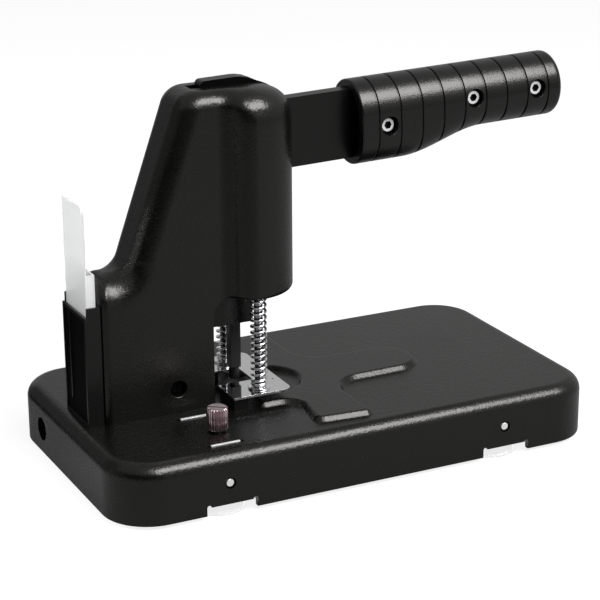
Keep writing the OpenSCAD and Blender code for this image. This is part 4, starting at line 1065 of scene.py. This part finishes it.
# %% The chrome plate
PLATE_X = (-60.4, -23.8)
PLATE_Y = 33.5
PLATE_Z = (44.1, 45.3)
PLATE_R = 5.0
PLATE_CUT = (43, 46)
GAP_X = -38.2
GAP_Y = 10.5
POST_X = -40.6
POST_Y = 24.0
POST_HOLE_R = 2.55
plan = [(PLATE_X[0], -PLATE_Y)] + arc((PLATE_X[1] - PLATE_R, PLATE_R - PLATE_Y), PLATE_R, -90, 0, 9)
plan += [(x, -y) for x, y in reversed(plan)]
plan += [(PLATE_X[0], GAP_Y), (GAP_X, GAP_Y), (GAP_X, -GAP_Y), (PLATE_X[0], -GAP_Y)]
plate = prism("chrome_plate", plan, "z", *PLATE_Z)
carve(plate, [rod("post_hole", "z", (POST_X, y), POST_HOLE_R, *PLATE_CUT) for y in (-POST_Y, POST_Y)])
carve(plate, [rod("plate_hole", "z", (PLATE_X[1] - 4, -15.0), 0.6, *PLATE_CUT, 20)])
smooth(plate, sharp=32, bevel=0.25)
settle(plate, CHROME, "base", "stripper_plate")

# %% [markdown]
# These pieces keep the exact CAD shape, and only their edges are softened, because a perfectly sharp edge
# never catches the light as a real one does. Each is a merged copy of its CAD node with a narrow bevel.

# %% Pieces with softened edges
SOFTENED = [
    ("ram", "ram_block", 0.8, LEVER_BLACK, "ram", "smooth_black"),
    ("punch", "punch_shank", 0.3, DARK_STEEL_AND_SHADE, "ram", "dark_steel"),
    ("plate_supports", "plate_blocks", 0.4, LEVER_BLACK, "base", "smooth_black"),
    ("storage_box", "clear_storage_box", 0.25, CLEAR_PLASTIC, "storage", "clear_plastic"),
    ("spring_washers", "spring_seats", 0.2, CHROME, "base", "chrome"),
    ("gauge_slide", "gauge_keys", 0.3, BRIGHT_STEEL, "gauge", "bright_steel"),
    ("foot_pins", "cross_pins", 0.3, BRIGHT_STEEL, "base", "bright_steel"),
    ("die_bush", "die_ring", 0.3, DARK_STEEL_AND_SHADE, "base", "dark_steel"),
]
for node, name, width, material, body, slot_name in SOFTENED:
    piece = smooth(merged_copy(node, name), sharp=32, bevel=width)
    settle(piece, material, body, node)

# %% [markdown]
# A return spring is a wire that follows a helix. Geometry Nodes make it: a line of points is bent into the
# helix, with a tighter pitch for the closed coils at both ends, becomes a curve, and a small circle is
# swept along it.

# %% Geometry Nodes helpers


def new_tree(name, sizes):
    """A geometry tree with named inputs. Gives the tree, the incoming mesh and the inputs as sockets."""
    tree = bpy.data.node_groups.new(name, "GeometryNodeTree")
    tree.is_modifier = True
    tree.interface.new_socket("Geometry", in_out="OUTPUT", socket_type="NodeSocketGeometry")
    tree.interface.new_socket("Geometry", in_out="INPUT", socket_type="NodeSocketGeometry")
    kinds = {int: "NodeSocketInt", float: "NodeSocketFloat"}
    for key, value in sizes.items():
        tree.interface.new_socket(key, in_out="INPUT", socket_type=kinds[type(value)])
    group = tree.nodes.new("NodeGroupInput")
    return tree, Sock(tree, group.outputs[0]), {k: Sock(tree, group.outputs[k]) for k in sizes}


def end_tree(tree, geometry, material):
    """Realises the instances, sets the material and ends the tree."""
    real = geometry.make("GeometryNodeRealizeInstances", inputs={0: geometry})
    painted = geometry.make("GeometryNodeSetMaterial", inputs={"Geometry": real, "Material": material})
    output = tree.nodes.new("NodeGroupOutput")
    tree.links.new(painted.out, output.inputs[0])


def grown(name, tree, sizes, places):
    """An object whose mesh the tree has grown from points, given in millimetres along the base."""
    mesh = bpy.data.meshes.new(name)
    mesh.from_pydata([tuple(p) for p in placed(places)], [], [])
    obj = linked(name, mesh)
    modifier = obj.modifiers.new("grow", "NODES")
    modifier.node_group = tree
    for item in tree.interface.items_tree:
        if item.in_out == "INPUT" and item.name in sizes:
            modifier[item.identifier] = sizes[item.name]
    return apply_modifiers(obj)


def turned_copies(mesh_in, spot, draw, sides, rows, radius, depth, turn=(0.0, 0.0, 0.0)):
    """Cylinders on the incoming points, with each of their own points drawn in to a share of the radius."""
    scale = mesh_in.make("ShaderNodeCombineXYZ", inputs={0: draw, 1: draw, 2: 1.0})
    drawn = mesh_in.make("ShaderNodeVectorMath", {"operation": "MULTIPLY"}, {0: spot, 1: scale})
    plain = mesh_in.make("GeometryNodeMeshCylinder", inputs={
        "Vertices": sides, "Side Segments": rows, "Radius": radius, "Depth": depth})
    shaped = mesh_in.make("GeometryNodeSetPosition", inputs={"Geometry": plain, "Position": drawn})
    return mesh_in.make("GeometryNodeInstanceOnPoints", inputs={
        "Points": mesh_in, "Instance": shaped, "Rotation": turn})


print("geometry helpers ready")

# %% The return springs
SPRING_Z0 = 46.5
SPRING_Z1 = 112.0
WIRE_SIDES = 12
SPRINGS = [("front_spring", -POST_Y, "return_spring_front"), ("rear_spring", POST_Y, "return_spring_rear")]
sizes = {"Coil radius": 0.00415, "Wire": 0.0015, "Height": MM * (SPRING_Z1 - SPRING_Z0), "Coils": 16.5,
         "End coils": 1.25, "Steps": 900}
tree, mesh_in, size = new_tree("return_spring", sizes)
line = mesh_in.make("GeometryNodeMeshLine", {"mode": "OFFSET"}, {"Count": size["Steps"]})
step = mesh_in.make("GeometryNodeInputIndex")
turns = step / (size["Steps"] - 1) * (size["Coils"] + size["End coils"] * 2)
angle = turns * (2 * math.pi)
low_coils = turns.sum_of("MINIMUM", turns, size["End coils"])
high_coils = turns.sum_of("MAXIMUM", turns - size["End coils"] - size["Coils"], 0.0)
middle_coils = turns - low_coils - high_coils
end_pitch = size["Wire"] * 1.04
open_height = size["Height"] - size["Wire"] - end_pitch * size["End coils"] * 2
open_rise = middle_coils / size["Coils"] * open_height
height = (low_coils + high_coils) * end_pitch + open_rise + size["Wire"] * 0.5
place = mesh_in.make("ShaderNodeCombineXYZ", inputs={
    0: size["Coil radius"] * angle.sum_of("COSINE", angle),
    1: size["Coil radius"] * angle.sum_of("SINE", angle),
    2: height,
})
bent = mesh_in.make("GeometryNodeSetPosition", inputs={"Geometry": line, "Position": place})
wire = mesh_in.make("GeometryNodeMeshToCurve", inputs={0: bent})
ring = mesh_in.make("GeometryNodeCurvePrimitiveCircle", inputs={
    "Resolution": WIRE_SIDES, "Radius": size["Wire"] * 0.5})
coil = mesh_in.make("GeometryNodeCurveToMesh", inputs={
    "Curve": wire, "Profile Curve": ring, "Fill Caps": True})
soft = mesh_in.make("GeometryNodeSetShadeSmooth", inputs={0: coil})
copies = mesh_in.make("GeometryNodeInstanceOnPoints", inputs={"Points": mesh_in, "Instance": soft})
end_tree(tree, copies, CHROME)
for name, y, node in SPRINGS:
    foot = [(POST_X, y, SPRING_Z0)]
    spring = grown(name, tree, sizes, foot)
    settle(spring, CHROME, "base", node)
    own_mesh(spring)

# %% [markdown]
# The socket screws in the grip have knurled heads. Each screw is one long cylinder: below the head every
# ring is drawn in to the shank, and round the head every second pair of points is drawn in for the knurl.
# The tree grows one screw on each point of the mesh that it is given. The six-sided sockets are cut out of
# the grown screws, and their inner faces get the dark steel as a painted shade.

# %% The grip's socket screws
HEAD_EDGE = 0.5 * MM
SCREW_SIDES = 72
SCREW_ROWS = 62
LYING = (math.pi / 2, 0.0, 0.0)
SOCKET_R = 2.45
SOCKET_Y = (-16.5, -12.4)
SOCKET_INNER_M = 0.0024
SOCKET_DEPTHS_M = (-0.01549, -0.0123)
sizes = {"Head radius": 0.00425, "Head height": 0.005, "Shank radius": 0.0025, "Length": 0.031,
         "Knurl": 0.00025}
tree, mesh_in, size = new_tree("socket_screw", sizes)
index = mesh_in.make("GeometryNodeInputIndex")
spot = mesh_in.make("GeometryNodeInputPosition")
rise = mesh_in.make("ShaderNodeSeparateXYZ", inputs={0: spot}, pick=2)
tooth = index.sum_of("FLOORED_MODULO", index, 4.0)
valley = tooth.sum_of("GREATER_THAN", tooth, 1.5)
in_head = rise.sum_of("GREATER_THAN", rise, size["Length"] * 0.5 - size["Head height"])
crown = rise.sum_of("GREATER_THAN", rise, size["Length"] * 0.4999)
head_share = 1.0 - (valley * size["Knurl"] * (1.0 - crown) + crown * HEAD_EDGE) / size["Head radius"]
draw = in_head * head_share + (1.0 - in_head) * size["Shank radius"] / size["Head radius"]
copies = turned_copies(
    mesh_in, spot, draw, SCREW_SIDES, SCREW_ROWS, size["Head radius"], size["Length"], LYING)
end_tree(tree, copies, BRIGHT_STEEL)
screw_places = raised([(x, 0.0, PIVOT_Z + z) for x, z in SCREW_AT])
screw_axes = placed(screw_places)
screws = grown("grip_socket_screws", tree, sizes, screw_places)
carve(screws, [rod("socket", "y", (x, PIVOT_Z + z), SOCKET_R, *SOCKET_Y, 6, raised) for x, z in SCREW_AT])
smooth(screws, sharp=30)
settle(screws, BRIGHT_STEEL, "lever", "grip_screws")


def socket_painted_shade(middle, normal):
    out = min(math.hypot(middle.x - a[0], middle.z - a[2]) for a in screw_axes)
    return SOCKET_DEPTHS_M[0] < middle.y < SOCKET_DEPTHS_M[1] and out < SOCKET_INNER_M


# The inner faces of the sockets get the dark steel, a painted shade for the shade inside them.
paint_faces(screws, DARK_STEEL_AND_SHADE, socket_painted_shade)

# %% [markdown]
# The thumbscrew of the margin gauge is a small turned knob with upright ribs. A cosine round the knob draws
# the ribs, so their number is a plain input. The top edge is drawn in, and a slot for a screwdriver is cut
# across it. Its flat top gets a rougher nickel whose lighter tone is a painted highlight.

# %% The gauge's thumbscrew
KNOB_H = 12.8
KNOB_LOW = DECK_Z + 1.4
KNOB_TOP = KNOB_LOW + KNOB_H
KNOB_EDGE = 0.8 * MM
KNOB_SIDES = 176
KNOB_ROWS = 24
STUD_R = 2.5
STUD_LOW = DECK_Z - 10.5
BLADE_TURN = math.radians(-35)
BLADE = ((-9, -0.6), (9, -0.6), (9, 0.6), (-9, 0.6))
BLADE_DEPTH = 1.4
sizes = {"Knob radius": 0.0061, "Knob height": KNOB_H * MM, "Ribs": 22.0, "Rib depth": 0.0005}
tree, mesh_in, size = new_tree("thumbscrew", sizes)
spot = mesh_in.make("GeometryNodeInputPosition")
x_part = mesh_in.make("ShaderNodeSeparateXYZ", inputs={0: spot})
y_part = x_part.also(1)
rise = x_part.also(2)
angle = y_part.sum_of("ARCTAN2", y_part, x_part) * size["Ribs"]
wave = angle.sum_of("COSINE", angle)
rim = rise.sum_of("GREATER_THAN", rise.sum_of("ABSOLUTE", rise), size["Knob height"] * 0.495)
draw = 1.0 - ((1.0 - wave) * size["Rib depth"] * (1.0 - rim) + rim * KNOB_EDGE) / size["Knob radius"]
copies = turned_copies(mesh_in, spot, draw, KNOB_SIDES, KNOB_ROWS, size["Knob radius"], size["Knob height"])
end_tree(tree, copies, ROSY_NICKEL)
thumbscrew = grown("ribbed_thumbscrew", tree, sizes, [(KNOB_X, KNOB_Y, (KNOB_LOW + KNOB_TOP) / 2)])
blade = []
for along, across in BLADE:
    x = KNOB_X + along * math.cos(BLADE_TURN) - across * math.sin(BLADE_TURN)
    y = KNOB_Y + along * math.sin(BLADE_TURN) + across * math.cos(BLADE_TURN)
    blade.append((x, y))
carve(thumbscrew, [prism("slot", blade, "z", KNOB_TOP - BLADE_DEPTH, KNOB_TOP + 1)])
carve(thumbscrew, [rod("stud", "z", (KNOB_X, KNOB_Y), STUD_R, STUD_LOW, KNOB_LOW + 1)], "UNION")
smooth(thumbscrew, sharp=35)
settle(thumbscrew, ROSY_NICKEL, "thumbscrew", "gauge_thumbscrew")


def top_painted_highlight(middle, normal):
    return normal.z > 0.9


# The top faces get the lighter nickel, a painted highlight.
paint_faces(thumbscrew, TOP_NICKEL_PAINTED_HIGHLIGHT, top_painted_highlight)

# %% [markdown]
# The suction cups are soft clear rubber. Each is turned from one profile: a thin rim, a bell and a stem
# with a hole for the cross pin.

# %% The suction cups
CUP = [(0.3, 5.0), (5.0, 4.2), (9.0, 2.2), (12.4, 0.5), (13.5, 0.0), (14.6, 0.0), (CUP_R, 0.3), (CUP_R, 1.2)]
CUP += [(14.6, 1.8), (13.5, 2.3), (11.0, 3.7), (8.0, 6.3), (6.2, 7.6), (5.2, 8.8), (5.0, 10.0)]
CUP += [(5.0, 23.5), (4.4, 24.3), (0.3, 24.3)]
cups = []
for sx in (-1, 1):
    for sy in (-1, 1):
        cup = mesh_object("suction_cup", *loft(lathe(CUP, (sx * FOOT_X, sy * FOOT_Y))))
        reach = (sy * FOOT_Y - CUP_R, sy * FOOT_Y + CUP_R)
        carve(cup, [rod("pin_hole", "y", (sx * FOOT_X, PIN_Z), PIN_HOLE_R, *reach, 32)])
        cups.append(smooth(cup, sharp=50))
cups[0].name = "suction_cups"
join(cups[0], cups)
settle(cups[0], CLEAR_RUBBER, "base", "suction_feet")

# %% [markdown]
# The remaining CAD nodes already have the right shape: pins, posts, bushes, bolts and the sheet below the
# base. They stay as they are and only get their finishes.

# %% Finishes of the CAD nodes that stay
KEPT = {
    "bottom_sheet": ZINC_STEEL, "bottom_screws": ZINC_STEEL, "plate_screws": ZINC_STEEL,
    "lever_frame": ZINC_STEEL, "frame_bolts": ZINC_STEEL, "pivot_pin": BRIGHT_STEEL, "link_pin": BRIGHT_STEEL,
    "grip_nuts": BRIGHT_STEEL, "pivot_rings": DARK_STEEL_AND_SHADE, "punch_set_screw": DARK_STEEL_AND_SHADE,
    "holder_screws": DARK_STEEL_AND_SHADE, "housing_screws": DULL_BLACK_AND_SHADE, "guide_posts": GROUND_STEEL_AND_SHADE,
    "lever_bush": BRONZE, "post_bushes": BRONZE,
}
for node, material in KEPT.items():
    nodes[node].data.materials.clear()
    nodes[node].data.materials.append(material)
print("CAD nodes kept:", len(KEPT))

# %% [markdown]
# The studio has a pale floor and one broad soft lamp in front, to the right and above, which draws the
# highlights along every rounded edge. A second lamp at the left fills the shaded side, and isn't seen in
# the gloss itself. Dark cards and faintly glowing grey sheets stand out of the picture, as a photographer
# sets cards: they give the rounded black faces that look towards the camera, the left and the back their
# tone. The glowing sheets are painted light in place of grey cards lit by the lamp. The camera and clear
# plastic see the floor and the room as white, and mirrors see them as a calm grey.

# %% Floor and room
FLOOR_HALF = 6
FLOOR_GREY = 0.2
FLOOR_GLOW = 0.85
FLOOR_MIRRORED = 0.132
ROOM_MIRRORED = 0.45
ROOM_LIGHT = 0.25
WHITE = (1, 1, 1, 1)


def seen_share(start, mirror):
    """One where the camera or clear plastic looks, and a smaller share for a mirror."""
    camera_ray = start.make("ShaderNodeLightPath", pick="Is Camera Ray")
    both = start.sum_of("MAXIMUM", camera_ray, camera_ray.also("Is Transmission Ray"))
    return start.sum_of("MAXIMUM", both, camera_ray.also("Is Glossy Ray") * mirror)


def flat_sheet(name, corners, material, shown=False):
    """A flat piece of the studio with four corners, in metres. Cards only show as mirrored in the punch."""
    mesh = bpy.data.meshes.new(name)
    mesh.from_pydata(corners, [], [(0, 1, 2, 3)])
    mesh.materials.append(material)
    sheet = linked(name, mesh)
    sheet.visible_camera = shown
    sheet.visible_transmission = shown


pale_floor = bpy.data.materials.new("pale_floor")
start = clear_tree(pale_floor)
matte = start.make("ShaderNodeBsdfDiffuse", inputs={"Color": (*grey(FLOOR_GREY), 1.0)})
glow = start.make("ShaderNodeEmission", inputs={"Strength": seen_share(start, FLOOR_MIRRORED) * FLOOR_GLOW})
show(start.make("ShaderNodeAddShader", inputs={0: matte, 1: glow}))
corners = [(x * FLOOR_HALF, y * FLOOR_HALF, 0) for x, y in ((-1, -1), (1, -1), (1, 1), (-1, 1))]
flat_sheet("floor", corners, pale_floor, True)

world = bpy.data.worlds.new("pale_room")
bpy.context.scene.world = world
start = clear_tree(world)
light = start.sum_of("MAXIMUM", seen_share(start, ROOM_MIRRORED), ROOM_LIGHT)
show(start.make("ShaderNodeBackground", inputs={"Color": WHITE, "Strength": light}), "ShaderNodeOutputWorld")
print("floor and room ready")

# %% Cards
CARD_Z = 0.002
CARD_CLOUD = 30.0
FRONT_CARD = [(-1.1, -1.7), (0.29, -1.4), (-0.04, -0.24), (-0.64, 0.03)]
BACK_CARD = [(-0.7, 0.1), (-0.205, 0.1), (-0.1, 0.45), (-0.7, 0.45)]
DARK_WALLS = [((-1.77, -0.3), (-1.19, -1.3)), ((-1.19, -1.3), (0.25, -1.66))]
GREY_WALLS = [((-1.2, -0.25), (-1.2, 0.3)), ((-0.71, 0.21), (-0.2, 0.53))]
DARK_WALL_H = 1.0
GREY_WALL_H = 0.7
GREY_GLOW = 0.17


def card_finish(name, dark, light):
    """Dull card that mirrors nothing."""
    material, start, shader, place = new_finish(name)
    colour = mixed(start, noise(start, place, CARD_CLOUD), grey(dark), grey(light))
    feed(start, shader, Base_Color=colour, Roughness=0.9, Specular_IOR_Level=0.0)
    return material


def upright(name, foot, height, material):
    """A card that stands on a line of the floor."""
    (x0, y0), (x1, y1) = foot
    flat_sheet(name, [(x0, y0, 0.0), (x1, y1, 0.0), (x1, y1, height), (x0, y0, height)], material)


black_card = card_finish("black_card", 0.01, 0.02)
dim_card = card_finish("dark_grey_card", 0.17, 0.21)
# The grey sheets glow faintly, a painted light in place of grey cards lit by the lamp.
glowing_grey_card = bpy.data.materials.new("glowing_grey_card")
show(clear_tree(glowing_grey_card).make("ShaderNodeEmission", inputs={"Strength": GREY_GLOW}))
flat_sheet("front_card", [(x, y, CARD_Z) for x, y in FRONT_CARD], dim_card)
flat_sheet("back_card", [(x, y, CARD_Z) for x, y in BACK_CARD], black_card)
for foot in DARK_WALLS:
    upright("dark_wall", foot, DARK_WALL_H, black_card)
for foot in GREY_WALLS:
    upright("glowing_grey_card", foot, GREY_WALL_H, glowing_grey_card)
print("cards ready")

# %% Lamps


def soft_lamp(name, place, target, size, power):
    """A rectangular lamp aimed at a point, in metres and watts."""
    light = bpy.data.lights.new(name, "AREA")
    light.shape = "RECTANGLE"
    light.size, light.size_y = size
    light.energy = power
    lamp = linked(name, light)
    lamp.location = place
    lamp.rotation_euler = (Vector(target) - Vector(place)).to_track_quat("-Z", "Y").to_euler()
    return lamp


soft_lamp("main_lamp", place=(0.38, -0.82, 1.17), target=(0.0, 0.0, 0.1), size=(1.2, 0.72), power=36.0)
side_fill = soft_lamp(
    "side_fill", place=(-1.25, 0.1, 0.55), target=(-0.05, 0.0, 0.15), size=(0.7, 0.7), power=34.0)
side_fill.visible_glossy = False
side_fill.visible_transmission = False
side_fill.visible_camera = False
print("lamps ready")

# %% [markdown]
# The camera stands in front, to the left and above, with a long lens, as the picture's perspective says.
# Its angles were found from the straight edges of the base.

# %% Camera
YAW = math.radians(26.26)
PITCH = math.radians(19.03)
ROLL = math.radians(-0.35)
EYE = (-491.3, -991.0, 466.0)
LENS = 120.0
SENSOR = 36.0
FARTHEST = 20.0
ahead = Vector((math.sin(YAW) * math.cos(PITCH), math.cos(YAW) * math.cos(PITCH), -math.sin(PITCH)))
level = Vector((math.cos(YAW), -math.sin(YAW), 0.0))
upward = level.cross(ahead)
right = level * math.cos(ROLL) + upward * math.sin(ROLL)
upward = upward * math.cos(ROLL) - level * math.sin(ROLL)
turn = Matrix((right, upward, -ahead)).transposed()
camera_data = bpy.data.cameras.new("camera")
camera_data.sensor_width = SENSOR
camera_data.lens = LENS
camera_data.clip_end = FARTHEST
camera = linked("camera", camera_data)
eye = placed([EYE])[0]
camera.matrix_world = Matrix.Translation(Vector(eye)) @ turn.to_4x4()
bpy.context.scene.camera = camera
bpy.context.scene.view_settings.view_transform = "Standard"
print("camera at", [round(v, 3) for v in eye])
